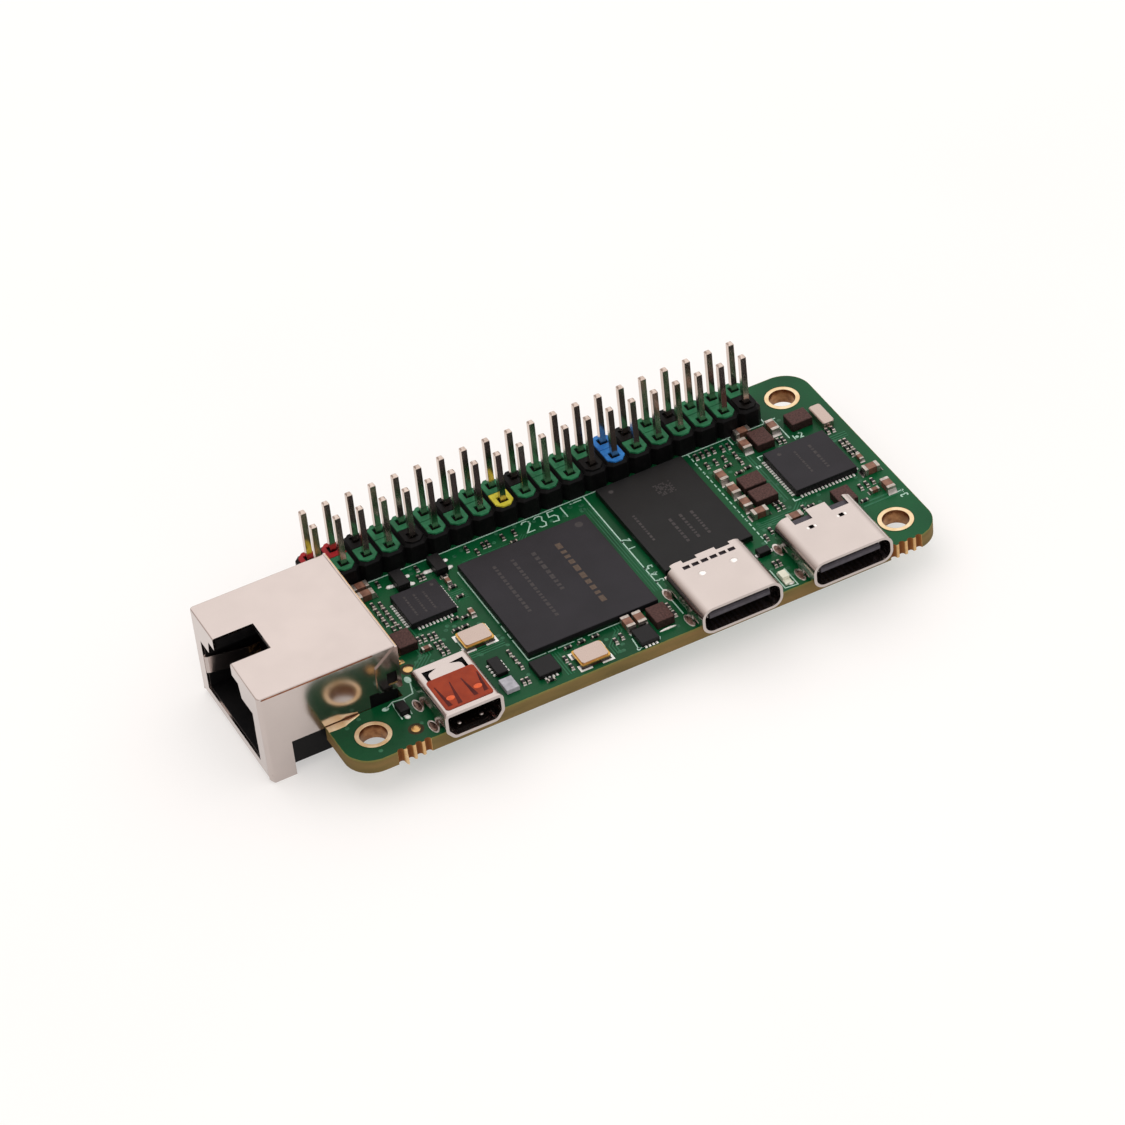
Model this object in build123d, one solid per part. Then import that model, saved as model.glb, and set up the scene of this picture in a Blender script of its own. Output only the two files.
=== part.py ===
from build123d import *
import math
import os

# Single board computer with wired networking, two reversible serial ports, a small video port,
# a two row pin header, and a card slot, camera socket and recovery button underneath.
# Everything is laid out in millimetres from the front left corner of the board, left to right,
# front to back and up from the board's underside. place() then moves it, so that the origin is
# the middle of the four mounting holes, at the board's underside.

# ---------------------------------------------------------------- driving dimensions
BOARD_LENGTH = 65.0
BOARD_WIDTH = 30.0
BOARD_THICKNESS = 1.6
BOARD_CORNER = 3.0
TOP = BOARD_THICKNESS

HOLE_INSET = 3.5
HOLE_RADIUS = 1.375
PLATING_RADIUS = 1.5
RING_RADIUS = 1.85
PLATING_HEIGHT = 0.05

# Stubs left on the front edge where the board was snapped out of its panel
# First groove of each breaking edge, and how far the splinters between its grooves stick out
SNAP_EDGES = ((4.75, (0.6, 0.24, 0.14)), (59.2, (0.06, 0.08, 0.05)))
SNAP_GROOVE_RADIUS = 0.34
SNAP_PITCH = 0.96

# Pin header
PITCH = 2.54
HEADER_COLUMNS = 20
HEADER_CENTRE = (BOARD_LENGTH / 2, 26.5)
HEADER_HEIGHT = 2.35
TILE_HEIGHT = 0.19
TILE_LENGTH = 2.0
TILE_DEPTH = 2.32
TILE_CHAMFER = 0.6
PIN_SIZE = 0.64
PIN_TOP = 10.2
PIN_LENGTH = 11.54
PIN_HOLE_RADIUS = 0.5
PIN_WELL = 1.0
# One letter a column, from the network end: g green, k black, r red, y yellow, b blue
BACK_COLOURS = "rrkgggkggkgggbkgkggg"
FRONT_COLOURS = "ygggkgggygggkbgggggk"
COLOUR_NAMES = {"g": "green", "r": "red", "y": "yellow", "b": "blue"}

# Network socket, which sits in a cut-out of the board's left edge
NET_LEFT = -6.35
NET_RIGHT = 8.25
NET_FRONT = 7.0
NET_BACK = 23.0
NET_TOP = 8.22
NET_SKIRT_BOTTOM = -2.75
NET_FACE_BOTTOM = -1.9
NET_SKIRT_END = -3.54
NET_WALL_BOTTOM = 1.5
NET_BODY_BOTTOM = -1.5
NET_SHEET = 0.25
NET_FOLD = 0.2
NET_CORNER = 0.4
NET_COVER_SHEET = 0.18
NET_COVER_BOTTOM = 2.97
NET_MIDDLE = (NET_FRONT + NET_BACK) / 2
NET_LATCH_MIDDLE = NET_MIDDLE + 0.25
NET_MOUTH_HALF = 6.15
NET_MOUTH_BOTTOM = -0.98
NET_CUTOUT_GAP = 0.05
NET_CONTACT_PITCH = 1.02
NET_CONTACT_COUNT = 8

# Reversible serial sockets: outer section, wall, and the middle of each along the front edge
USB_WIDTH = 8.94
USB_HEIGHT = 3.16
USB_WALL = 0.3
USB_CORNER = 1.25
USB_FRONT = -1.5
USB_BACK = 5.95
USB_TAB_REACH = 0.45
USB_LEFT_MIDDLE = 41.42
USB_RIGHT_MIDDLE = 53.86
USB_TONGUE_WIDTH = 6.69
USB_TONGUE_THICKNESS = 0.7
USB_CONTACTS_A_SIDE = 12
USB_CONTACT_PITCH = 0.5

# Small video socket
VIDEO_LEFT = 9.3
VIDEO_RIGHT = 15.35
VIDEO_FRONT = -1.15
VIDEO_BACK = 6.6
VIDEO_HEIGHT = 2.9
VIDEO_WALL = 0.22
VIDEO_LIP = 0.12
VIDEO_CUT = (0.75, 0.95)
VIDEO_TOP_BEND = 0.45
VIDEO_LOW_BEND = 0.65
VIDEO_MIDDLE = (VIDEO_LEFT + VIDEO_RIGHT) / 2
VIDEO_CONTACT_COUNT = 10
VIDEO_CONTACT_PITCH = 0.4

# Grid array and leadless chips: low corner, high corner, overall height
PROCESSOR = ((21.0, 4.9), (35.4, 20.4), 0.9)
MEMORY = ((38.0, 8.25), (47.9, 23.2), 0.85)
NETWORK_CHIP = ((13.3, 15.0), (18.3, 20.0), 0.8)
POWER_CHIP = ((54.95, 11.85), (61.95, 18.85), 0.85)
BALL_HEIGHT = 0.2
BALL_RADIUS = 0.17
SUBSTRATE_HEIGHT = 0.22

# Underside: card slot, camera socket, recovery button and network transformer
CARD_SLOT = ((19.3, 2.4), (33.3, 17.4))
CARD_SLOT_HEIGHT = 1.75
CARD_SHEET = 0.15
CARD_TRAVEL = 0.9
CAMERA_SOCKET = ((60.3, 6.8), (64.1, 23.2))
CAMERA_HEIGHT = 1.15
CAMERA_CONTACTS = 22
CAMERA_PITCH = 0.5
LATCH_AXIS_HEIGHT = -0.7
LATCH_AXIS_FROM_LEFT = 61.7
BUTTON_CENTRE = (51.5, 12.0)
TRANSFORMER = ((11.6, 10.0), (18.4, 20.0), 2.1)
TRANSFORMER_LEADS_A_SIDE = 6


# ---------------------------------------------------------------- small helpers
def slab(low, high):
    """Block between two corners."""
    size = [b - a for a, b in zip(low, high)]
    middle = [(a + b) / 2 for a, b in zip(low, high)]
    return Pos(*middle) * Box(*size)


def column(x, y, radius, z_low, z_high):
    """Upright round bar."""
    return Pos(x, y, (z_low + z_high) / 2) * Cylinder(radius, z_high - z_low)


def prism(points, z_low, z_high):
    """Upright prism on an outline given as corners seen from above."""
    return Pos(0, 0, z_low) * extrude(make_face(Polyline(*points, close=True)), z_high - z_low)


def across(points, y_low, y_high):
    """Prism that runs front to back, on an outline of (x, z) corners."""
    outline = Polyline(*[(x, 0, z) for x, z in points], close=True)
    return Pos(0, y_low, 0) * extrude(make_face(outline), y_high - y_low, dir=(0, 1, 0))


def along(points, x_low, x_high):
    """Prism that runs left to right, on an outline of (y, z) corners."""
    outline = Polyline(*[(0, y, z) for y, z in points], close=True)
    return Pos(x_low, 0, 0) * extrude(make_face(outline), x_high - x_low, dir=(1, 0, 0))


def bent_strip(points, thickness, y_low, y_high):
    """Metal strip bent through (x, z) points, from y_low to y_high wide."""
    parts = []
    middle = (y_low + y_high) / 2
    width = y_high - y_low
    for (x0, z0), (x1, z1) in zip(points, points[1:]):
        run = Vector(x1 - x0, 0, z1 - z0)
        plane = Plane(origin=((x0 + x1) / 2, middle, (z0 + z1) / 2), x_dir=run, z_dir=(0, 1, 0))
        parts.append(plane * Box(run.length, thickness, width))
    for x, z in points[1:-1]:
        parts.append(Pos(x, middle, z) * Rot(90, 0, 0) * Cylinder(thickness / 2, width))
    return parts[0].fuse(*parts[1:])


def rounded_tube(centre, width, height, corner, y_low, y_high):
    """Solid that runs front to back, with a rounded rectangle as its section."""
    x, z = centre
    section = Plane(origin=(x, y_low, z), x_dir=(1, 0, 0), z_dir=(0, -1, 0))
    return extrude(section * RectangleRounded(width, height, corner), -(y_high - y_low))


def box_on_board(centre, size, base=TOP):
    """Block standing on the board, from its middle and its size."""
    x, y = centre
    length, depth, height = size
    return Pos(x, y, base + height / 2) * Box(length, depth, height)


def place(parts):
    """Groups the pieces of one node and moves them to the origin between the mounting holes."""
    pieces = parts if isinstance(parts, list) else [parts]
    solids = [solid for piece in pieces for solid in piece.solids()]
    return Pos(-BOARD_LENGTH / 2, -BOARD_WIDTH / 2, 0) * Compound(children=solids)


# ---------------------------------------------------------------- bare board
def mounting_holes():
    """Middles of the four mounting holes."""
    lefts = (HOLE_INSET, BOARD_LENGTH - HOLE_INSET)
    fronts = (HOLE_INSET, BOARD_WIDTH - HOLE_INSET)
    return [(x, y) for x in lefts for y in fronts]


def header_pin(index, row):
    """Middle of a header pin. Row -1 is the front row and row 1 the back one."""
    x = HEADER_CENTRE[0] + (index - (HEADER_COLUMNS - 1) / 2) * PITCH
    return x, HEADER_CENTRE[1] + row * PITCH / 2


def header_pins():
    """Middles of all the header pins."""
    return [header_pin(index, row) for index in range(HEADER_COLUMNS) for row in (-1, 1)]


def snap_grooves():
    """Half-round grooves left by the drilled line that the board was broken out along."""
    return [
        column(start + number * SNAP_PITCH, 0, SNAP_GROOVE_RADIUS, 0, TOP)
        for start, reaches in SNAP_EDGES
        for number in range(len(reaches) + 1)
    ]


def snap_splinters():
    """Pointed stubs between the grooves, longer at the bottom face than at the top one."""
    stubs = []
    for start, reaches in SNAP_EDGES:
        for number, reach in enumerate(reaches):
            x = start + (number + 0.5) * SNAP_PITCH
            for share, low, high in ((1.0, 0, 0.5), (0.8, 0.5, 1.0), (0.5, 1.0, TOP)):
                tip = reach * share
                flank = [(-0.2, 0.2), (-0.14, -0.5 * tip)]
                points = flank + [(0.0, -tip)] + [(-dx, y) for dx, y in reversed(flank)]
                stubs.append(prism([(x + dx, y) for dx, y in points], low, high))
    return stubs

def board():
    """Laminate with every hole and the network socket's cut-out."""
    middle = Pos(BOARD_LENGTH / 2, BOARD_WIDTH / 2, 0)
    outline = RectangleRounded(BOARD_LENGTH, BOARD_WIDTH, BOARD_CORNER)
    holes = [column(x, y, PLATING_RADIUS, 0, TOP) for x, y in mounting_holes()]
    holes += [column(x, y, PIN_HOLE_RADIUS, 0, TOP) for x, y in header_pins()]
    gap = NET_CUTOUT_GAP
    holes.append(slab((-1, NET_FRONT - gap, 0), (NET_RIGHT + 2 * gap, NET_BACK + gap, TOP)))
    laminate = middle * extrude(outline, TOP)
    return laminate.cut(*holes, *snap_grooves()).fuse(*snap_splinters())


def mounting_rings():
    """Plated barrels of the mounting holes, with a ring on each face."""
    rings = []
    for x, y in mounting_holes():
        ring = column(x, y, PLATING_RADIUS, 0, TOP)
        ring += column(x, y, RING_RADIUS, TOP, TOP + PLATING_HEIGHT)
        ring += column(x, y, RING_RADIUS, -PLATING_HEIGHT, 0)
        ring -= column(x, y, HOLE_RADIUS, -PLATING_HEIGHT, TOP + PLATING_HEIGHT)
        rings.append(ring)
    return rings


# ---------------------------------------------------------------- pin header
def octagon(length, depth, cut):
    """Corners of a rectangle about the origin with its corners cut off."""
    x, y = length / 2, depth / 2
    return [
        (x, y - cut), (x - cut, y), (cut - x, y), (-x, y - cut),
        (-x, cut - y), (cut - x, -y), (x - cut, -y), (x, cut - y),
    ]


def header_body():
    """Black moulding: twenty cells with cut corners and bevelled tops, each with two pin holes."""
    cell = prism(octagon(PITCH, 2 * PITCH, 0.5), TOP, TOP + HEADER_HEIGHT)
    cell = chamfer(cell.edges().group_by(Axis.Z)[-1], 0.27)
    for row in (-1, 1):
        cell -= slab(
            (-PIN_SIZE / 2, row * PITCH / 2 - PIN_SIZE / 2, TOP),
            (PIN_SIZE / 2, row * PITCH / 2 + PIN_SIZE / 2, TOP + HEADER_HEIGHT),
        )
    y = HEADER_CENTRE[1]
    cells = [Pos(header_pin(index, 1)[0], y, 0) * cell for index in range(HEADER_COLUMNS)]
    return cells[0].fuse(*cells[1:])


def header_tile(row):
    """Thin top of one pin's place in the header, with a well around the pin."""
    half = TILE_LENGTH / 2
    inner = -row * (PITCH / 2 - 0.03)
    outer = inner + row * TILE_DEPTH
    corners = [
        (-half, inner), (half, inner), (half, outer - row * TILE_CHAMFER),
        (half - TILE_CHAMFER, outer), (TILE_CHAMFER - half, outer), (-half, outer - row * TILE_CHAMFER),
    ]
    low = TOP + HEADER_HEIGHT
    well = slab((-PIN_WELL / 2, -PIN_WELL / 2, low), (PIN_WELL / 2, PIN_WELL / 2, low + TILE_HEIGHT))
    return prism(corners, low, low + TILE_HEIGHT) - well


def header_tiles(letter):
    """Every tile of one colour."""
    tiles = []
    for row, colours in ((-1, FRONT_COLOURS), (1, BACK_COLOURS)):
        for index, colour in enumerate(colours):
            if colour == letter:
                tiles.append(Pos(*header_pin(index, row), 0) * header_tile(row))
    return tiles


def header_pin_bars():
    """Forty square pins with bevelled ends."""
    pin = Pos(0, 0, PIN_TOP - PIN_LENGTH / 2) * Box(PIN_SIZE, PIN_SIZE, PIN_LENGTH)
    layers = pin.edges().group_by(Axis.Z)
    pin = chamfer(layers[0] + layers[-1], 0.16)
    return [Pos(x, y, 0) * pin for x, y in header_pins()]


def header_solder():
    """Solder cone around each pin on the underside."""
    low, high = -0.75, 0.0
    cone = Pos(0, 0, (low + high) / 2) * Cone(0.48, 0.85, high - low)
    cone -= slab((-PIN_SIZE / 2, -PIN_SIZE / 2, low), (PIN_SIZE / 2, PIN_SIZE / 2, high))
    return [Pos(x, y, 0) * cone for x, y in header_pins()]


# ---------------------------------------------------------------- network socket
def net_mouth(inset, depth, start):
    """Space for a plug: wide below, narrowing in two steps to the way for its latch."""
    wide = NET_MOUTH_HALF - inset
    latch_steps = ((3.9, 5.15), (3.5, 6.8), (2.1, 6.8), (2.1, 7.6))
    outline = []
    for side in (-1, 1):
        steps = [(NET_MIDDLE + side * wide, z) for z in (NET_MOUTH_BOTTOM + inset, 5.15)]
        steps += [(NET_LATCH_MIDDLE + side * half, z) for half, z in latch_steps]
        outline += steps if side < 0 else reversed(steps)
    return along(outline, start, start + depth)


def net_notch():
    """Way for the plug's latch through the top, at the front."""
    half = 2.1
    return slab((NET_LEFT, NET_LATCH_MIDDLE - half, 6.5), (-2.0, NET_LATCH_MIDDLE + half, NET_TOP))


def net_rear_cover():
    """Separate rear sheet, whose two side flaps are latched over the walls of the can."""
    c = NET_COVER_SHEET
    high = NET_TOP - 0.15
    cover = slab((NET_RIGHT - 0.05, NET_FRONT - c, NET_COVER_BOTTOM), (NET_RIGHT + c, NET_BACK + c, high))
    flap_outline = [
        (5.9, 3.2), (5.9, 6.2), (6.3, 6.5), (NET_RIGHT, high), (NET_RIGHT + c, high),
        (NET_RIGHT + c, NET_COVER_BOTTOM), (6.75, NET_COVER_BOTTOM),
    ]
    for outside in (NET_FRONT - c, NET_BACK):
        cover += across(flap_outline, outside, outside + c)
    return cover


def network_shield():
    """Folded steel can of the network socket, with its rear cover."""
    t = NET_SHEET
    skirt_outline = [
        (NET_LEFT, NET_WALL_BOTTOM), (NET_LEFT, NET_SKIRT_BOTTOM + 0.5), (NET_LEFT + 0.5, NET_SKIRT_BOTTOM),
        (NET_SKIRT_END, NET_SKIRT_BOTTOM), (NET_SKIRT_END, NET_WALL_BOTTOM),
    ]
    can = slab((NET_LEFT, NET_FRONT, NET_WALL_BOTTOM), (NET_RIGHT, NET_BACK, NET_TOP))
    can += across(skirt_outline, NET_FRONT, NET_BACK)
    can = fillet(can.edges().filter_by(Axis.Z).group_by(Axis.X)[0], NET_CORNER)
    can = fillet(can.edges().group_by(Axis.Z)[-1], NET_FOLD)
    can -= slab((NET_LEFT + t, NET_FRONT + t, NET_SKIRT_BOTTOM), (NET_RIGHT - t, NET_BACK - t, NET_TOP - t))
    can -= slab((NET_LEFT, NET_FRONT + t, NET_SKIRT_BOTTOM), (NET_SKIRT_END, NET_BACK - t, NET_FACE_BOTTOM))
    can += slab((NET_LEFT + t, NET_FRONT, NET_FACE_BOTTOM), (NET_SKIRT_END, NET_BACK, NET_FACE_BOTTOM + t))
    can -= slab((4.95, NET_FRONT, NET_WALL_BOTTOM), (NET_RIGHT, NET_BACK, NET_COVER_BOTTOM + 0.2))
    can += net_rear_cover()
    seam_low = NET_TOP - NET_FOLD - 0.12
    for outside in (NET_FRONT, NET_BACK - 0.1):
        can -= slab((NET_LEFT + NET_CORNER, outside, seam_low), (5.9, outside + 0.1, seam_low + 0.1))
    for outside in (NET_FRONT - NET_COVER_SHEET, NET_BACK - t):
        can -= slab((6.95, outside, 3.8), (8.0, outside + NET_COVER_SHEET + t, 5.2))
    can -= net_mouth(0, 1.0, NET_LEFT - 0.5)
    can -= net_notch()
    return can


def net_contacts():
    """Eight spring wires: a foot on the board, a run under the floor and a sloping free end."""
    path = [
        (10.2, TOP + 0.125), (6.4, TOP + 0.125), (6.4, -1.12), (-1.6, -1.12), (-1.75, -0.62), (3.6, 1.2),
    ]
    wires = []
    for number in range(NET_CONTACT_COUNT):
        y = NET_MIDDLE + (number - (NET_CONTACT_COUNT - 1) / 2) * NET_CONTACT_PITCH
        wires.append(bent_strip(path, 0.25, y - 0.2, y + 0.2))
    return wires


def network_housing(contacts):
    """Black moulding inside the can, with the plug's cavity."""
    t = NET_SHEET
    front, back = NET_FRONT + t, NET_BACK - t
    housing = slab((NET_LEFT + t, front, NET_FACE_BOTTOM + t), (NET_SKIRT_END, back, NET_TOP - t))
    housing += slab((NET_SKIRT_END, front, NET_BODY_BOTTOM), (NET_RIGHT - t, back, NET_TOP - t))
    housing -= net_mouth(0.1, 11.2, NET_LEFT)
    housing -= net_notch()
    return housing.cut(*contacts)


def ground_springs():
    """Leaf springs that touch the plug's sides, one at each side of the mouth."""
    springs = []
    for side in (-1, 1):
        jamb = NET_MIDDLE + side * NET_MOUTH_HALF
        points = [(-6.3, -0.07), (-6.0, -0.22), (-4.0, -0.62), (-1.8, -1.0), (-0.7, -0.85)]
        leaf = bent_strip([(x, side * y) for x, y in points], 0.12, 1.05, 3.1)
        # The strip is bent in x and z, so it is turned to stand on edge beside the jamb.
        springs.append(Pos(0, jamb, 0) * Rot(-90, 0, 0) * mirror(leaf, Plane.XZ))
    return springs


# ---------------------------------------------------------------- reversible serial sockets
def usb_height():
    """Height of the middle of both sockets."""
    return TOP + USB_HEIGHT / 2


def usb_tube(middle):
    """Drawn shell before its cut-outs, standing on four legs."""
    centre = (middle, usb_height())
    inner_size = (USB_WIDTH - 2 * USB_WALL, USB_HEIGHT - 2 * USB_WALL)
    outer = rounded_tube(centre, USB_WIDTH, USB_HEIGHT, USB_CORNER, USB_FRONT, USB_BACK + USB_TAB_REACH)
    inner = rounded_tube(
        centre, *inner_size, USB_CORNER - USB_WALL, USB_FRONT, USB_BACK + USB_TAB_REACH
    )
    shell = outer - inner
    side = USB_WIDTH / 2
    for direction in (-1, 1):
        edges = sorted((middle + direction * side, middle + direction * (side - 0.25)))
        for leg_front in (0.75, 5.0):
            shell += slab((edges[0], leg_front, TOP), (edges[1], leg_front + 1.0, usb_height()))
    return shell


def usb_rear_notches(middle, spans, depth):
    """Cuts that leave tabs on the rear edge of the shell's top."""
    low = USB_BACK + USB_TAB_REACH - depth
    top = TOP + USB_HEIGHT
    return [
        slab((middle + a, low, top - USB_CORNER), (middle + b, USB_BACK + USB_TAB_REACH, top))
        for a, b in spans
    ]


def usb_left_shell():
    """Shell with a row of six slots and two pips on its top."""
    middle, top = USB_LEFT_MIDDLE, TOP + USB_HEIGHT
    shell = usb_tube(middle)
    cuts = usb_rear_notches(middle, [(-4.5, -3.8), (-2.5, -0.95), (1.2, 2.75), (3.9, 4.5)], 0.45)
    for number in range(6):
        x = middle + (number - 2.5) * 1.01
        cuts.append(slab((x - 0.37, 4.95, top - USB_WALL), (x + 0.37, 5.45, top)))
    shell = shell.cut(*cuts)
    for offset in (-1.6, 1.9):
        cap = Pos(middle + offset, 3.6, top - 0.3) * Sphere(0.38)
        shell += cap & slab((middle - 3, 3, top - USB_WALL), (middle + 3, 4.2, top + 0.2))
    return shell


def usb_right_shell():
    """Shell with a tongue between two rear notches and two square holes."""
    middle, top = USB_RIGHT_MIDDLE, TOP + USB_HEIGHT
    cuts = usb_rear_notches(middle, [(-2.9, -0.9), (1.3, 3.25)], 1.5)
    for offset in (-1.65, 1.75):
        x = middle + offset
        cuts.append(slab((x - 0.25, 3.55, top - USB_WALL), (x + 0.25, 4.05, top)))
    return usb_tube(middle).cut(*cuts)


def usb_insulator(middle):
    """Black moulding: the block behind the cavity and the tongue between the contacts."""
    z = usb_height()
    back = rounded_tube(
        (middle, z), USB_WIDTH - 2 * USB_WALL, USB_HEIGHT - 2 * USB_WALL, USB_CORNER - USB_WALL, 4.2, 5.9
    )
    half = USB_TONGUE_WIDTH / 2
    thick = USB_TONGUE_THICKNESS / 2
    tongue = slab((middle - half, -0.9, z - thick), (middle + half, 4.2, z + thick))
    tongue = chamfer(tongue.edges().filter_by(Axis.X).group_by(Axis.Y)[0], 0.15)
    collar = slab((middle - half - 0.2, 2.9, z - 0.62), (middle + half + 0.2, 4.2, z + 0.62))
    return back + tongue + collar


def usb_contacts(middle):
    """Twelve flat contacts on each face of the tongue, and their feet behind the socket."""
    z = usb_height()
    thick = USB_TONGUE_THICKNESS / 2
    pieces = []
    for number in range(USB_CONTACTS_A_SIDE):
        x = middle + (number - (USB_CONTACTS_A_SIDE - 1) / 2) * USB_CONTACT_PITCH
        pieces.append(slab((x - 0.13, -0.6, z + thick), (x + 0.13, 2.9, z + thick + 0.04)))
        pieces.append(slab((x - 0.13, -0.6, z - thick - 0.04), (x + 0.13, 2.9, z - thick)))
        rear = USB_BACK + USB_TAB_REACH
        foot = slab((x - 0.12, rear, TOP), (x + 0.12, rear + 0.5, TOP + 0.12))
        foot += slab((x - 0.12, rear, TOP), (x + 0.12, rear + 0.12, TOP + 0.62))
        pieces.append(foot + slab((x - 0.12, 5.9, TOP + 0.5), (x + 0.12, rear + 0.12, TOP + 0.62)))
    return pieces


def usb_side_latches(middle):
    """Thin steel latch at each side of the tongue, which holds a plug."""
    z = usb_height()
    half = USB_TONGUE_WIDTH / 2
    return [
        slab((middle + min(side * half, side * (half + 0.12)), -0.5, z - 0.3),
             (middle + max(side * half, side * (half + 0.12)), 2.9, z + 0.3))
        for side in (-1, 1)
    ]


# ---------------------------------------------------------------- small video socket
def video_block(inset, y_low, y_high):
    """Block with the socket's section, shrunk by inset: lower corners cut away, every bend round."""
    low, high = TOP + inset, TOP + VIDEO_HEIGHT - inset
    half = (VIDEO_RIGHT - VIDEO_LEFT) / 2 - inset
    lean = math.atan2(VIDEO_CUT[0], VIDEO_CUT[1])
    cut_x = VIDEO_CUT[0] - inset * (1 - math.tan(math.pi / 4 - lean / 2))
    cut_z = VIDEO_CUT[1] - inset * (1 - math.tan(lean / 2))
    right = [(half, high), (half, low + cut_z), (half - cut_x, low)]
    outline = right + [(-x, z) for x, z in reversed(right)]
    block = across([(VIDEO_MIDDLE + x, z) for x, z in outline], y_low, y_high)
    for level, radius in ((-1, VIDEO_TOP_BEND), (1, VIDEO_LOW_BEND), (0, VIDEO_LOW_BEND)):
        bend = block.edges().filter_by(Axis.Y).group_by(Axis.Z)[level]
        block = fillet(bend, radius - inset)
    return block


def video_finger_cuts(middle):
    """Two tapered cuts and one short one that free a spring finger in the top."""
    low, high = TOP + VIDEO_HEIGHT - VIDEO_WALL, TOP + VIDEO_HEIGHT
    rear, front = 3.15, 0.1
    cuts = []
    for side in (-1, 1):
        corners = [(0.76, rear), (0.9, rear), (0.76, front), (0.42, front)]
        cuts.append(prism([(middle + side * x, y) for x, y in corners], low, high))
    cuts.append(slab((middle - 0.76, front - 0.15, low), (middle + 0.76, front, high)))
    return cuts


def video_root_cuts():
    """Two angled openings in the top behind the tape, where the rear flap is bent down."""
    low, high = TOP + VIDEO_HEIGHT - VIDEO_WALL, TOP + VIDEO_HEIGHT
    corners = [(-0.7, 5.7), (-2.2, 5.85), (-2.2, 4.2), (-1.85, 4.2), (-1.8, 5.1), (-1.6, 5.35)]
    return [prism([(VIDEO_MIDDLE + side * x, y) for x, y in corners], low, high) for side in (1, -1)]


def video_shell():
    """Folded shell of the video socket with its spring fingers, slots and legs."""
    shell = video_block(0, VIDEO_FRONT, VIDEO_BACK)
    shell += video_block(-VIDEO_LIP, VIDEO_FRONT, VIDEO_FRONT + 0.3)
    shell -= video_block(VIDEO_WALL, VIDEO_FRONT, VIDEO_BACK)
    shell = shell.cut(*video_finger_cuts(10.9), *video_finger_cuts(13.85), *video_root_cuts())
    for x in (VIDEO_LEFT, VIDEO_RIGHT - VIDEO_WALL):
        for leg_front in (0.8, 4.2):
            shell += slab((x, leg_front, TOP), (x + VIDEO_WALL, leg_front + 1.0, TOP + 1.3))
    return shell


def video_insulator():
    """Black moulding with the thin tongue that carries the contacts."""
    back = video_block(VIDEO_WALL, 3.6, VIDEO_BACK)
    back -= slab((VIDEO_LEFT, 4.6, TOP + 2.2), (VIDEO_RIGHT, VIDEO_BACK, TOP + VIDEO_HEIGHT))
    back += slab((VIDEO_MIDDLE - 2.2, 0.6, TOP + 1.25), (VIDEO_MIDDLE + 2.2, 3.6, TOP + 1.85))
    return back


def video_contacts():
    """Two rows of contacts on the tongue's lower and upper faces."""
    pieces = []
    for number in range(VIDEO_CONTACT_COUNT):
        x = VIDEO_MIDDLE + (number - (VIDEO_CONTACT_COUNT - 1) / 2) * VIDEO_CONTACT_PITCH
        pieces.append(slab((x - 0.1, 0.8, TOP + 1.2), (x + 0.1, 3.6, TOP + 1.25)))
        pieces.append(slab((x - 0.1, 0.8, TOP + 1.85), (x + 0.1, 3.6, TOP + 1.9)))
    return pieces


def video_tape():
    """Amber tape patch over the spring fingers."""
    patch = Pos(12.37, 1.98) * RectangleRounded(5.1, 4.72, 0.35)
    return Pos(0, 0, TOP + VIDEO_HEIGHT) * extrude(patch, 0.06)


# ---------------------------------------------------------------- chips
def chip_mould(chip):
    """Black top of a grid array chip."""
    low, high, height = chip
    mould = slab((*low, TOP + BALL_HEIGHT + SUBSTRATE_HEIGHT), (*high, TOP + height))
    return chamfer(mould.edges().group_by(Axis.Z)[-1], 0.05)


def chip_substrate(chip):
    """Laminate under the mould."""
    low, high, _ = chip
    return slab((*low, TOP + BALL_HEIGHT), (*high, TOP + BALL_HEIGHT + SUBSTRATE_HEIGHT))


def ball_ring(chip, pitch):
    """Outer ring of solder balls between a grid array chip and the board."""
    low, high, _ = chip
    inset = 0.55
    counts = [int((b - a - 2 * inset) / pitch) for a, b in zip(low, high)]
    starts = [(a + b - count * pitch) / 2 for a, b, count in zip(low, high, counts)]
    balls = []
    for i in range(counts[0] + 1):
        for j in range(counts[1] + 1):
            if i in (0, counts[0]) or j in (0, counts[1]):
                x, y = starts[0] + i * pitch, starts[1] + j * pitch
                balls.append(column(x, y, BALL_RADIUS, TOP, TOP + BALL_HEIGHT))
    return balls


def leadless_chip(chip):
    """Moulded leadless chip standing just clear of the board."""
    low, high, height = chip
    mould = slab((*low, TOP + 0.04), (*high, TOP + height))
    return chamfer(mould.edges().group_by(Axis.Z)[-1], 0.05)


def leadless_pads(chip, count, pitch):
    """Pads and solder along all four sides of a leadless chip, and the one under its middle."""
    low, high, _ = chip
    middle = [(a + b) / 2 for a, b in zip(low, high)]
    half = [(b - a) / 2 for a, b in zip(low, high)]
    pads = [box_on_board(middle, (half[0] * 1.4, half[1] * 1.4, 0.04))]
    for number in range(count):
        step = (number - (count - 1) / 2) * pitch
        for side in (-1, 1):
            pads.append(box_on_board((middle[0] + step, middle[1] + side * half[1]), (0.2, 0.7, 0.04)))
            pads.append(box_on_board((middle[0] + side * half[0], middle[1] + step), (0.7, 0.2, 0.04)))
    return pads


# Small moulded packages: middle, size, and which sides have leads ("x", "y" or none)
SMALL_PACKAGES = [
    ((17.85, 5.35), (1.2, 2.5, 0.55), "xmany"),
    ((21.75, 2.8), (2.4, 2.5, 0.6), "ymany"),
    ((32.1, 1.5), (2.0, 2.3, 0.6), "ymany"),
    ((15.3, 21.95), (1.3, 2.5, 0.95), "three"),
    ((19.55, 22.0), (1.3, 2.5, 0.95), "three"),
    ((7.35, 4.95), (1.05, 1.5, 0.75), "yone"),
    ((47.85, 6.1), (1.35, 0.95, 0.65), "xone"),
]


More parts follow.
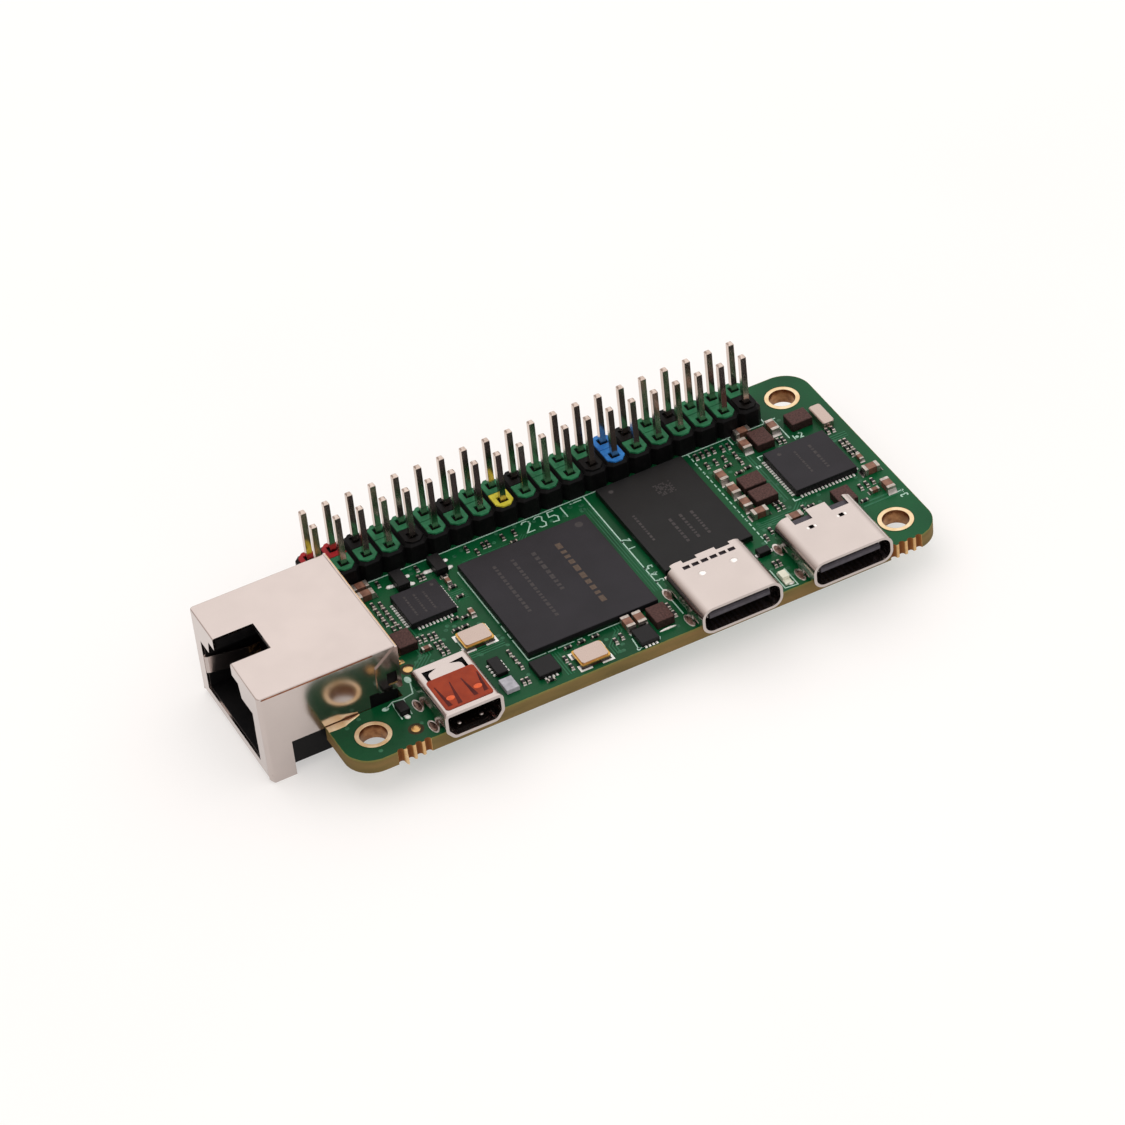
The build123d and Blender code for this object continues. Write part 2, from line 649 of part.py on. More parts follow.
def small_packages():
    """Moulded bodies of the small chips, transistors and diodes."""
    bodies = []
    for centre, size, _ in SMALL_PACKAGES:
        body = box_on_board(centre, (size[0], size[1], size[2] - 0.08), TOP + 0.08)
        bodies.append(chamfer(body.edges().group_by(Axis.Z)[-1], 0.06))
    return bodies


def lead_places(size, pattern):
    """Middle and size of each lead of a small package, from the package's middle."""
    length, depth, _ = size
    many = (-0.75, -0.25, 0.25, 0.75)
    if pattern == "three":
        ends = ((-length / 2, 0.0), (length / 2, 0.62), (length / 2, -0.62))
        return [(end, (0.9, 0.4)) for end in ends]
    if pattern == "xone":
        return [((side * length / 2, 0.0), (0.7, 0.4)) for side in (-1, 1)]
    if pattern == "yone":
        return [((0.0, side * depth / 2), (0.45, 0.8)) for side in (-1, 1)]
    if pattern == "xmany":
        return [((side * length / 2, step), (0.5, 0.22)) for side in (-1, 1) for step in many]
    return [((0.8 * step, side * depth / 2), (0.22, 0.5)) for side in (-1, 1) for step in many]


def small_leads():
    """Flat leads under the small packages."""
    leads = []
    for (x, y), size, pattern in SMALL_PACKAGES:
        for (dx, dy), (length, depth) in lead_places(size, pattern):
            leads.append(box_on_board((x + dx, y + dy), (length, depth, 0.08)))
    return leads


# ---------------------------------------------------------------- coils, capacitors, resistors
# Middles of the moulded coils, with their size left to right and front to back
COILS = [
    ((11.65, 13.45), (2.0, 2.5)), ((34.6, 3.1), (2.0, 2.5)), ((51.95, 15.8), (2.5, 2.0)),
    ((51.95, 13.4), (2.5, 2.0)), ((56.1, 21.3), (2.0, 2.5)), ((60.85, 22.0), (2.4, 2.0)),
    ((58.6, 8.7), (2.0, 2.4)),
]
COIL_HEIGHT = 1.0

# Ceramic capacitors, by the way their long side lies
LARGE_ALONG_X = [(50.45, 11.45), (55.1, 23.45), (53.0, 8.85), (63.2, 11.3), (11.5, 23.15), (11.5, 21.8)]
LARGE_ALONG_Y = [
    (49.9, 18.4), (49.9, 15.9), (49.9, 13.45), (54.3, 21.5), (58.1, 22.5),
    (63.3, 8.1), (31.45, 3.85), (32.7, 3.85),
]
MEDIUM_ALONG_X = [(61.9, 8.35), (13.2, 11.6)]
MEDIUM_ALONG_Y = [(63.25, 13.6), (19.45, 19.5), (19.35, 14.0)]
LARGE_CHIP = (1.7, 0.95, 0.8)
MEDIUM_CHIP = (1.0, 0.5, 0.45)
SMALL_CHIP = (0.75, 0.32, 0.28)


def row(start, step, count):
    """Evenly spaced places in a line."""
    return [(start[0] + i * step[0], start[1] + i * step[1]) for i in range(count)]


RESISTORS_ALONG_Y = (
    row((49.4, 22.9), (0.66, 0), 4) + row((49.7, 21.1), (1.0, 0), 3) + row((52.3, 22.6), (0.7, 0), 2)
    + row((11.5, 17.3), (0, 1.0), 4) + row((12.25, 17.0), (0, 1.0), 4) + row((11.75, 16.0), (0.62, 0), 2)
    + row((13.15, 13.25), (0.55, 0), 2) + row((14.3, 13.05), (0.52, 0), 2) + row((14.3, 11.6), (0.52, 0), 2)
    + row((14.3, 10.4), (0.55, 0), 2) + row((13.35, 23.0), (4.3, 0), 2) + row((17.25, 21.6), (0.45, 0), 2)
    + row((24.9, 22.55), (0.5, 0), 2) + row((27.1, 22.6), (1.3, 0), 2) + row((23.2, 22.95), (0.75, -1.0), 2)
    + row((19.05, 2.2), (0.5, 0), 2) + row((19.8, 6.7), (0.05, -1.15), 3) + row((24.0, 2.9), (0, -1.3), 2)
    + row((29.35, 2.55), (0.8, 0.3), 2) + row((62.65, 19.15), (0.6, 0), 2) + row((62.9, 14.7), (0, 1.0), 3)
    + row((63.4, 14.7), (0, 1.0), 3) + row((52.4, 11.4), (0.6, 0), 2) + row((61.0, 9.6), (0.75, 0.1), 3)
    + row((47.95, 4.0), (0.5, 0), 2) + row((57.7, 20.5), (0.5, -0.1), 2) + row((49.25, 8.0), (0.9, 0.7), 2)
    + row((36.1, 3.0), (0, 1.3), 2) + row((54.6, 9.9), (0, -1.2), 1) + row((52.9, 19.8), (0, 1.2), 2)
)
RESISTORS_ALONG_X = (
    row((19.5, 16.85), (0, 1.65), 2) + row((19.5, 20.4), (0, 1), 1) + row((16.95, 12.55), (0.95, 0), 2)
    + row((17.55, 14.1), (1.0, -0.3), 2) + row((55.4, 9.8), (0, 1), 1) + row((51.5, 19.9), (0, 1), 1)
    + row((51.9, 18.3), (1.1, 0.2), 2) + row((60.3, 7.55), (0, 1), 1) + row((25.0, 4.25), (1.5, 0), 3)
    + row((27.75, 21.3), (0, 1), 1) + row((52.7, 12.1), (0, 1), 1) + row((21.5, 1.0), (0, 1), 1)
)
UNDERSIDE_CAPACITORS = row((22.2, 18.8), (1.9, 0), 6) + row((22.2, 20.9), (1.9, 0), 6)


def coil_bodies():
    """Moulded blocks of the power coils."""
    blocks = []
    for centre, (length, depth) in COILS:
        block = box_on_board(centre, (length, depth, COIL_HEIGHT - 0.05), TOP + 0.05)
        block = fillet(block.edges().filter_by(Axis.Z), 0.12)
        blocks.append(chamfer(block.edges().group_by(Axis.Z)[-1], 0.06))
    return blocks


def coil_terminals():
    """Two plated terminals under each coil."""
    pads = []
    for (x, y), (length, depth) in COILS:
        for side in (-1, 1):
            pads.append(box_on_board((x + side * length * 0.32, y), (length * 0.3, depth * 0.92, 0.05)))
    return pads


def chip_component(centre, size, lies_along_x, base=TOP):
    """Body and two metal ends of a chip capacitor or resistor."""
    length, depth, height = size
    end = length * 0.22
    body = Box(length - 2 * end, depth * 0.96, height * 0.96)
    ends = [Pos(side * (length - end) / 2, 0, 0) * Box(end, depth, height) for side in (-1, 1)]
    turn = Rot(0, 0, 0) if lies_along_x else Rot(0, 0, 90)
    spot = Pos(*centre, base + height / 2) * turn
    return spot * body, [spot * piece for piece in ends]


def capacitors():
    """Every ceramic capacitor: its bodies and its ends."""
    groups = [
        (LARGE_ALONG_X, LARGE_CHIP, True, TOP), (LARGE_ALONG_Y, LARGE_CHIP, False, TOP),
        (MEDIUM_ALONG_X, MEDIUM_CHIP, True, TOP), (MEDIUM_ALONG_Y, MEDIUM_CHIP, False, TOP),
        (UNDERSIDE_CAPACITORS, MEDIUM_CHIP, False, -MEDIUM_CHIP[2]),
    ]
    return chip_components(groups)


def resistors():
    """Every small resistor: its bodies and its ends."""
    return chip_components([
        (RESISTORS_ALONG_X, SMALL_CHIP, True, TOP), (RESISTORS_ALONG_Y, SMALL_CHIP, False, TOP),
    ])


def chip_components(groups):
    """Bodies and ends of groups of chip components."""
    bodies, ends = [], []
    for places, size, lies_along_x, base in groups:
        for centre in places:
            body, caps = chip_component(centre, size, lies_along_x, base)
            bodies.append(body)
            ends += caps
    return bodies, ends


# ---------------------------------------------------------------- crystals, filter and lamp
CRYSTALS = [(17.95, 10.45), (26.35, 1.95)]
CRYSTAL_SIZE = (3.2, 2.5)


def crystal_bases():
    """Gold rimmed ceramic trays of the two crystals."""
    length, depth = CRYSTAL_SIZE
    return [
        Pos(x, y, TOP) * extrude(RectangleRounded(length, depth, 0.25), 0.5) for x, y in CRYSTALS
    ]


def crystal_lids():
    """Flat metal lids welded on the crystals."""
    length, depth = CRYSTAL_SIZE
    lid = extrude(RectangleRounded(length - 0.3, depth - 0.3, 0.3), 0.18)
    return [Pos(x, y, TOP + 0.5) * lid for x, y in CRYSTALS]


def clock_crystal():
    """Slim metal crystal of the real time clock."""
    can = Pos(63.2, 21.3, TOP) * extrude(RectangleRounded(1.35, 3.2, 0.3), 0.8)
    return chamfer(can.edges().group_by(Axis.Z)[-1], 0.1)


def signal_filter():
    """Pale ceramic filter block."""
    block = box_on_board((17.65, 2.45), (1.4, 1.9, 0.5))
    return chamfer(block.edges().group_by(Axis.Z)[-1], 0.05)


def status_lamp():
    """Light emitting diode: a white base with a clear domed block on it."""
    lamp = box_on_board((47.75, 1.65), (0.8, 1.9, 0.25))
    return lamp + box_on_board((47.75, 1.85), (0.8, 1.1, 0.35), TOP + 0.25)


# ---------------------------------------------------------------- card slot underneath
def card_slot_base():
    """Black frame of the card slot, with a lane for the slider at its right."""
    (left, front), (right, back) = CARD_SLOT
    low = -CARD_SLOT_HEIGHT + CARD_SHEET
    base = slab((left, front, low), (right, back, 0))
    base -= slab((left + 0.8, front, low), (right - 2.0, back - 1.6, -0.45))
    base -= slab((right - 1.7, front + 1.0, low), (right - 0.6, back - 1.0, -0.45))
    return base


def card_slot_cover():
    """Steel lid of the card slot with its two folded sides."""
    (left, front), (right, back) = CARD_SLOT
    low = -CARD_SLOT_HEIGHT
    cover = slab((left, front + 0.6, low), (right, back, low + CARD_SHEET))
    cover -= column((left + right) / 2, front + 0.6, 2.4, low, low + CARD_SHEET)
    for x in (left + 3.4, left + 8.2):
        cover -= slab((x, front + 6.1, low), (x + 1.2, front + 9.1, low + CARD_SHEET))
    for x in (left - CARD_SHEET, right):
        cover += slab((x, front + 1.0, low), (x + CARD_SHEET, back - 0.5, -0.02))
    return cover


def card_slider_span():
    """Front and rear of the slider at rest."""
    front = CARD_SLOT[0][1] + 7.0
    return front, front + 4.6


def card_slot_slider():
    """Push-push slider that the card moves, with the arm that its rear corner rests on."""
    right = CARD_SLOT[1][0]
    front, back = card_slider_span()
    slider = slab((right - 1.65, front, -1.55), (right - 0.65, back, -0.5))
    return slider - slab((right - 1.4, front + 0.5, -1.55), (right - 0.9, back - 1.6, -1.15))


def card_slot_spring():
    """Return spring between the slider and the rear of its lane."""
    x = CARD_SLOT[1][0] - 1.15
    start = card_slider_span()[1]
    end = CARD_SLOT[1][1] - 1.0
    turns = 6
    wire = 0.13
    pitch = (end - start) / turns
    coils = [
        Pos(x, start + (turn + 0.5) * pitch, -1.02) * Rot(90, 0, 0) * Torus(0.33, wire / 2)
        for turn in range(turns)
    ]
    spine = slab((x - wire / 2, start, -1.02 + 0.3), (x + wire / 2, end, -1.02 + 0.38))
    return spine.fuse(*coils)


def card_slot_contacts():
    """Eight spring contacts on the slot's roof."""
    left, front = CARD_SLOT[0]
    contacts = []
    for number in range(8):
        x = left + 2.2 + number * 1.1
        contacts.append(slab((x - 0.3, front + 8.6, -0.65), (x + 0.3, front + 13.0, -0.45)))
    return contacts


# ---------------------------------------------------------------- camera socket underneath
def camera_socket_body(contacts):
    """Pale moulding with the cable's slot at its right and two ears for the latch at its left."""
    (left, front), (right, back) = CAMERA_SOCKET
    ear_end = LATCH_AXIS_FROM_LEFT + 0.45
    body = slab((ear_end, front, -CAMERA_HEIGHT), (right, back, 0))
    body -= slab((ear_end + 0.3, front + 1.9, -0.85), (right, back - 1.9, -0.36))
    body += slab((left, front, -0.25), (ear_end, back, 0))
    for ear_front in (front, back - 1.0):
        body += slab((left + 0.6, ear_front, -CAMERA_HEIGHT), (ear_end, ear_front + 1.0, 0))
    pivot = Pos(LATCH_AXIS_FROM_LEFT, (front + back) / 2, LATCH_AXIS_HEIGHT) * Rot(90, 0, 0)
    body -= pivot * Cylinder(0.23, back - front - 0.6)
    return body.cut(*contacts)


def camera_latch():
    """Flip bar that clamps the cable, with a stub pin at each end."""
    (left, front), (_, back) = CAMERA_SOCKET
    bar_length = back - front - 2.2
    pivot = Pos(LATCH_AXIS_FROM_LEFT, (front + back) / 2, LATCH_AXIS_HEIGHT) * Rot(90, 0, 0)
    bar = pivot * Cylinder(0.38, bar_length)
    plate_front = (front + back - bar_length) / 2
    bar += slab(
        (left - 0.6, plate_front, LATCH_AXIS_HEIGHT - 0.38),
        (LATCH_AXIS_FROM_LEFT, plate_front + bar_length, LATCH_AXIS_HEIGHT),
    )
    return bar + pivot * Cylinder(0.19, back - front - 0.8)


def camera_contacts():
    """Contacts in the cable's slot, each with a foot on the board."""
    (_, front), (right, back) = CAMERA_SOCKET
    contacts = []
    for number in range(CAMERA_CONTACTS):
        y = (front + back) / 2 + (number - (CAMERA_CONTACTS - 1) / 2) * CAMERA_PITCH
        arm = slab((right - 1.5, y - 0.1, -0.36), (right + 0.1, y + 0.1, -0.3))
        arm += slab((right, y - 0.1, -0.36), (right + 0.1, y + 0.1, 0))
        contacts.append(arm + slab((right, y - 0.1, -0.08), (right + 0.7, y + 0.1, 0)))
    return contacts


# ---------------------------------------------------------------- recovery button underneath
def button_base():
    """Black base of the recovery button, with the well that its plunger moves in."""
    x, y = BUTTON_CENTRE
    base = slab((x - 1.5, y - 1.3, -0.9), (x + 1.5, y + 1.3, 0))
    return base - column(x, y, 0.95, -0.9, -0.25)


def button_cover():
    """Steel plate that keeps the plunger in, with four solder legs."""
    x, y = BUTTON_CENTRE
    cover = slab((x - 1.45, y - 1.25, -1.0), (x + 1.45, y + 1.25, -0.9)) - column(x, y, 0.68, -1.0, -0.9)
    for side in (-1, 1):
        edge = sorted((x + side * 1.5, x + side * 1.6))
        cover += slab((edge[0], y - 1.0, -1.0), (edge[1], y + 1.0, 0))
        inner = sorted((x + side * 1.4, x + side * 1.55))
        cover += slab((inner[0], y - 1.0, -1.0), (inner[1], y + 1.0, -0.9))
    return cover


def button_plunger():
    """Round plunger with the flange that holds it in."""
    x, y = BUTTON_CENTRE
    plunger = column(x, y, 0.6, -1.3, -0.55)
    plunger = chamfer(plunger.edges().group_by(Axis.Z)[0], 0.08)
    return plunger + column(x, y, 0.85, -0.87, -0.55)


# ---------------------------------------------------------------- network transformer underneath
def transformer_body():
    """Black moulded transformer."""
    low, high, height = TRANSFORMER
    body = slab((*low, -height), (*high, -0.1))
    return chamfer(body.edges().group_by(Axis.Z)[0], 0.2)


def transformer_leads():
    """Flat leads along the transformer's front and back."""
    low, high, _ = TRANSFORMER
    middle = (low[0] + high[0]) / 2
    leads = []
    for number in range(TRANSFORMER_LEADS_A_SIDE):
        x = middle + (number - (TRANSFORMER_LEADS_A_SIDE - 1) / 2) * 1.1
        for edge, side in ((low[1], -1), (high[1], 1)):
            ends = sorted((edge + side * 0.9, edge - side * 0.4))
            lead = slab((x - 0.2, ends[0], -0.1), (x + 0.2, ends[1], 0))
            rise = sorted((edge, edge + side * 0.12))
            leads.append(lead + slab((x - 0.2, rise[0], -1.1), (x + 0.2, rise[1], 0)))
    return leads


# ---------------------------------------------------------------- every node of the part
def all_nodes():
    """Name and pieces of every node."""
    network_wires = net_contacts()
    camera_wires = camera_contacts()
    capacitor_bodies, capacitor_ends = capacitors()
    resistor_bodies, resistor_ends = resistors()
    nodes = {
        "circuit_board": board(),
        "mounting_rings": mounting_rings(),
        "header_body": header_body(),
        "header_pins": header_pin_bars(),
        "header_solder": header_solder(),
        "network_shield": network_shield(),
        "network_housing": network_housing(network_wires),
        "network_contacts": network_wires,
        "network_ground_springs": ground_springs(),
        "video_shell": video_shell(),
        "video_insulator": video_insulator(),
        "video_contacts": video_contacts(),
        "video_tape": video_tape(),
        "usb_left_shell": usb_left_shell(),
        "usb_right_shell": usb_right_shell(),
        "processor_mould": chip_mould(PROCESSOR),
        "processor_substrate": chip_substrate(PROCESSOR),
        "memory_mould": chip_mould(MEMORY),
        "memory_substrate": chip_substrate(MEMORY),
        "chip_solder_balls": ball_ring(PROCESSOR, 0.65) + ball_ring(MEMORY, 0.8),
        "network_chip": leadless_chip(NETWORK_CHIP),
        "power_chip": leadless_chip(POWER_CHIP),
        "leadless_chip_pads": leadless_pads(NETWORK_CHIP, 10, 0.4) + leadless_pads(POWER_CHIP, 16, 0.4),
        "small_chips": small_packages(),
        "small_chip_leads": small_leads(),
        "power_coils": coil_bodies(),
        "power_coil_terminals": coil_terminals(),
        "capacitor_bodies": capacitor_bodies,
        "capacitor_ends": capacitor_ends,
        "resistor_bodies": resistor_bodies,
        "resistor_ends": resistor_ends,
        "crystal_bases": crystal_bases(),
        "crystal_lids": crystal_lids(),
        "clock_crystal": clock_crystal(),
        "signal_filter": signal_filter(),
        "status_lamp": status_lamp(),
        "card_slot_base": card_slot_base(),
        "card_slot_cover": card_slot_cover(),
        "card_slot_slider": card_slot_slider(),
        "card_slot_spring": card_slot_spring(),
        "card_slot_contacts": card_slot_contacts(),
        "camera_socket_body": camera_socket_body(camera_wires),
        "camera_socket_latch": camera_latch(),
        "camera_socket_contacts": camera_wires,
        "recovery_button_base": button_base(),
        "recovery_button_cover": button_cover(),
        "recovery_button_plunger": button_plunger(),
        "network_transformer": transformer_body(),
        "network_transformer_leads": transformer_leads(),
    }
    for letter, colour in COLOUR_NAMES.items():
        nodes[f"header_tiles_{colour}"] = header_tiles(letter)
    nodes["header_tiles_black"] = header_tiles("k")
    for side, middle in (("left", USB_LEFT_MIDDLE), ("right", USB_RIGHT_MIDDLE)):
        nodes[f"usb_{side}_insulator"] = usb_insulator(middle)
        nodes[f"usb_{side}_contacts"] = usb_contacts(middle)
        nodes[f"usb_{side}_side_latches"] = usb_side_latches(middle)
    return nodes


os.makedirs("parts", exist_ok=True)
for name, pieces in all_nodes().items():
    export_step(place(pieces), f"parts/{name}.step")
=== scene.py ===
import math
import random

import bpy
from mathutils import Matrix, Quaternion, Vector


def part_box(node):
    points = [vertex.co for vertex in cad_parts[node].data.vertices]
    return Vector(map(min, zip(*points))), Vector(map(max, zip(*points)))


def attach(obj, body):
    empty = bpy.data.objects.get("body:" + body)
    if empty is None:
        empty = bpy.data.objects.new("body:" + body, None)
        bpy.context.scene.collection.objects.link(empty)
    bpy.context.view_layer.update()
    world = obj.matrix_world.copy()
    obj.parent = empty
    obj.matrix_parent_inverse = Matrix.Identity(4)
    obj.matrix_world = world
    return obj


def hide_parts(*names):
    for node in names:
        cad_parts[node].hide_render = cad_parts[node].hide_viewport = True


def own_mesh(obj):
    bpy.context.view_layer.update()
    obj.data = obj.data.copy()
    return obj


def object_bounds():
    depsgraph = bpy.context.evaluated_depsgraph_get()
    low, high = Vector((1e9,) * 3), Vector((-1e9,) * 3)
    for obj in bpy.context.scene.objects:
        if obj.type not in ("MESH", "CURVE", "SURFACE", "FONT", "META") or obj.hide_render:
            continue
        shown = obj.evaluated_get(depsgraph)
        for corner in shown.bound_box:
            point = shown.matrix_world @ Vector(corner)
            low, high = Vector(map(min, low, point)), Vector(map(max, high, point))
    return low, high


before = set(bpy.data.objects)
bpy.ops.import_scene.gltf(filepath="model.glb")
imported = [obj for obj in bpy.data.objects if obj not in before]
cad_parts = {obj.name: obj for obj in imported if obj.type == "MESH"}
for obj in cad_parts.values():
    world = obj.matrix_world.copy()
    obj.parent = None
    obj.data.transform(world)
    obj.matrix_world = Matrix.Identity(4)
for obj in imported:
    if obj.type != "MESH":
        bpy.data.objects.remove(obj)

# Looks of a single board computer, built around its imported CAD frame. Lengths below are in
# millimetres, measured from the front left corner of the board, and mesh_piece() turns them
# into metres in the frame's own axes.
MM = 0.001
BODY = "board_assembly"
CAD_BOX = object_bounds()

BOARD_LOW, BOARD_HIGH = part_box("circuit_board")
BOARD_LENGTH, BOARD_WIDTH, BOARD_CORNER = 65.0, 30.0, 3.0
TOP = round(BOARD_HIGH.z / MM, 3)
CORNER = Vector((BOARD_LOW.x, BOARD_HIGH.y - BOARD_WIDTH * MM, 0))
# Spans along x where the board was snapped off its panel
SNAP_EDGES = ((4.4, 8.0), (58.85, 62.45))
# Thickness of the video socket's sheet, of the printed ink and of the marks on the chips
VIDEO_WALL, INK, MARK = 0.22, 0.015, 0.004
random.seed(7)


def srgb(red, green, blue):
    """Linear colour from the 0 to 255 values that a screen shows."""
    values = [channel / 255 for channel in (red, green, blue)]
    linear = [v / 12.92 if v <= 0.04045 else ((v + 0.055) / 1.055) ** 2.4 for v in values]
    return (*linear, 1.0)


def scaled(colour, share):
    """A share of a linear colour."""
    return (*(channel * share for channel in colour[:3]), 1.0)


# ---------- node materials
class Nodes:
    """A node tree with short ways to add the nodes that this scene uses."""

    def __init__(self, tree):
        self.tree = tree

    def node(self, kind, **settings):
        """A new node with its settings."""
        made = self.tree.nodes.new(kind)
        for key, value in settings.items():
            setattr(made, key, value)
        return made

    def link(self, source, target):
        """Joins an output to an input."""
        self.tree.links.new(source, target)

    def feed(self, target, value):
        """Joins an output to an input, or gives the input a plain value."""
        if isinstance(value, (int, float, tuple)):
            target.default_value = value
        elif value is not None:
            self.link(value, target)

    def split(self, vector):
        """The x, y and z outputs of a vector."""
        made = self.node("ShaderNodeSeparateXYZ")
        self.link(vector, made.inputs[0])
        return made.outputs

    def math(self, operation, first, second=None):
        """Result of a sum on outputs or plain numbers."""
        made = self.node("ShaderNodeMath", operation=operation)
        for socket, value in zip(made.inputs, (first, second)):
            self.feed(socket, value)
        return made.outputs[0]

    def ramp(self, factor, stops):
        """Colour ramp through (position, colour) stops."""
        made = self.node("ShaderNodeValToRGB")
        points = made.color_ramp.elements
        while len(points) < len(stops):
            points.new(0.5)
        for point, (position, colour) in zip(points, stops):
            point.position = position
            point.color = colour
        self.link(factor, made.inputs["Fac"])
        return made.outputs["Color"]

    def mix(self, factor, first, second, blend="MIX"):
        """Blend of two colours, each of them an output or a plain colour."""
        made = self.node("ShaderNodeMix", data_type="RGBA", blend_type=blend)
        for place, value in ((0, factor), (6, first), (7, second)):
            self.feed(made.inputs[place], value)
        return made.outputs[2]


class Paint(Nodes):
    """A Principled material that is painted by object position."""

    def __init__(self, name, roughness, metallic=0.0, coat=0.0, specular=0.5):
        self.material = bpy.data.materials.new(name)
        self.material.use_nodes = True
        super().__init__(self.material.node_tree)
        self.shader = self.tree.nodes["Principled BSDF"]
        for socket, value in (
            ("Roughness", roughness), ("Metallic", metallic), ("Coat Weight", coat),
            ("Coat Roughness", 0.15), ("Specular IOR Level", specular),
        ):
            self.shader.inputs[socket].default_value = value
        self.place = self.node("ShaderNodeTexCoord").outputs["Object"]

    def flatness(self):
        """1 where the surface faces straight up or down, 0 where it is upright."""
        normal = self.node("ShaderNodeNewGeometry").outputs["Normal"]
        return self.math("ABSOLUTE", self.split(normal)[2])

    def noise(self, per_mm, detail=3.0, stretch=(1, 1, 1)):
        """Noise with about that many spots a millimetre, scaled differently along each axis."""
        mapping = self.node("ShaderNodeMapping")
        mapping.inputs["Scale"].default_value = stretch
        self.link(self.place, mapping.inputs["Vector"])
        texture = self.node("ShaderNodeTexNoise")
        texture.inputs["Scale"].default_value = per_mm / MM
        texture.inputs["Detail"].default_value = detail
        self.link(mapping.outputs["Vector"], texture.inputs["Vector"])
        return texture.outputs["Fac"]

    def colour(self, output):
        """Sends a colour to the shader."""
        self.link(output, self.shader.inputs["Base Color"])

    def shade_upright_faces(self, colour, share):
        """The colour, with upright faces dimmed to a share of it: painted shade on the sides."""
        flat = self.ramp(self.flatness(), [(0.3, (share, share, share, 1)), (0.9, (1, 1, 1, 1))])
        return self.mix(1.0, colour, flat, "MULTIPLY")

    def vary_roughness(self, factor, low, high):
        """Roughness that follows a 0 to 1 factor."""
        spread = self.node("ShaderNodeMapRange")
        spread.inputs["To Min"].default_value = low
        spread.inputs["To Max"].default_value = high
        self.link(factor, spread.inputs["Value"])
        self.link(spread.outputs[0], self.shader.inputs["Roughness"])

    def bump(self, height, depth_mm):
        """Fine relief from a height output."""
        made = self.node("ShaderNodeBump")
        made.inputs["Distance"].default_value = depth_mm * MM
        self.link(height, made.inputs["Height"])
        self.link(made.outputs[0], self.shader.inputs["Normal"])


def spotted(name, dark, light, per_mm, roughness, metallic=0.0, depth=0.004, coat=0.0, stretch=(1, 1, 1),
            specular=0.5, sides=1.0):
    """Material that drifts between two screen colours, with its roughness, under a fine grain; a sides
    share below 1 dims its upright faces with painted shade.
    """
    paint = Paint(name, roughness, metallic, coat, specular)
    drift = paint.noise(per_mm, stretch=stretch)
    colour = paint.ramp(drift, [(0.3, srgb(*dark)), (0.7, srgb(*light))])
    # Painted shade: upright faces dimmed when sides is below 1
    paint.colour(paint.shade_upright_faces(colour, sides) if sides < 1 else colour)
    paint.vary_roughness(drift, roughness * 0.8, min(1.0, roughness * 1.25))
    paint.bump(paint.noise(per_mm * 8, stretch=stretch), depth)
    return paint.material


def past_outline(paint, x, y):
    """1 past the rounded outline of the board's mask, which wobbles a little, and 0 inside it."""
    squares = []
    for output, half in ((x, BOARD_LENGTH / 2), (y, BOARD_WIDTH / 2)):
        past = paint.math("SUBTRACT", paint.math("ABSOLUTE", output), (half - BOARD_CORNER) * MM)
        past = paint.math("MAXIMUM", past, 0.0)
        squares.append(paint.math("MULTIPLY", past, past))
    wobble = paint.math("MULTIPLY", paint.noise(2.0), 0.12 * MM)
    reach = paint.math("ADD", paint.math("SQRT", paint.math("ADD", *squares)), wobble)
    return paint.math("GREATER_THAN", reach, (BOARD_CORNER + 0.02) * MM)


def cut_laminate(paint, x, y, z):
    """Layered laminate of the board's edge, greener near the top and torn pale at the snapped spans."""
    layers = paint.noise(0.5, 2.0, (0.3, 0.3, 1.6))
    laminate = paint.ramp(layers, [
        (0.3, srgb(98, 84, 48)), (0.5, srgb(114, 96, 56)), (0.75, srgb(132, 104, 64)),
    ])
    height = paint.math("DIVIDE", z, TOP * MM)
    near_top = paint.ramp(height, [(0.8, (0, 0, 0, 1)), (1.0, (0.55, 0.55, 0.55, 1))])
    laminate = paint.mix(near_top, laminate, srgb(118, 124, 62))
    # Millimetres behind the tips of the torn stubs, which stand 0.6 mm out of the front edge
    depth = paint.math("DIVIDE", paint.math("ADD", y, (BOARD_WIDTH / 2 + 0.6) * MM), MM)
    depth = paint.math("ADD", depth, paint.math("MULTIPLY", paint.noise(3.0), 0.12))
    in_front = paint.math("LESS_THAN", depth, 1.1)
    torn = paint.ramp(depth, [
        (0.1, srgb(234, 206, 164)), (0.6, srgb(210, 172, 120)), (0.78, srgb(156, 104, 54)),
        (1.0, srgb(108, 62, 26)),
    ])
    for start, end in SNAP_EDGES:
        middle_x = ((start + end) / 2 - BOARD_LENGTH / 2) * MM
        off_middle = paint.math("ABSOLUTE", paint.math("SUBTRACT", x, middle_x))
        at_snap = paint.math("LESS_THAN", off_middle, (end - start) / 2 * MM)
        laminate = paint.mix(paint.math("MULTIPLY", at_snap, in_front), laminate, torn)
    return laminate


def board_material():
    """Green mask on both faces, bare laminate at the edges and in every hole and groove."""
    paint = Paint("board_mask", 0.32, specular=0.17)
    x, y, z = paint.split(paint.place)
    on_side = paint.math("LESS_THAN", paint.flatness(), 0.5)
    bare = paint.math("MAXIMUM", past_outline(paint, x, y), on_side)
    mask = paint.ramp(paint.noise(0.09, 2.0), [(0.35, srgb(2, 56, 30)), (0.65, srgb(8, 80, 43))])
    weave = paint.math("MULTIPLY", paint.noise(1.6, 4.0), 0.3)
    mask = paint.mix(weave, mask, srgb(14, 94, 52))
    paint.colour(paint.mix(bare, mask, cut_laminate(paint, x, y, z)))
    paint.vary_roughness(bare, 0.3, 0.75)
    paint.bump(paint.noise(5.0), 0.012)
    return paint.material


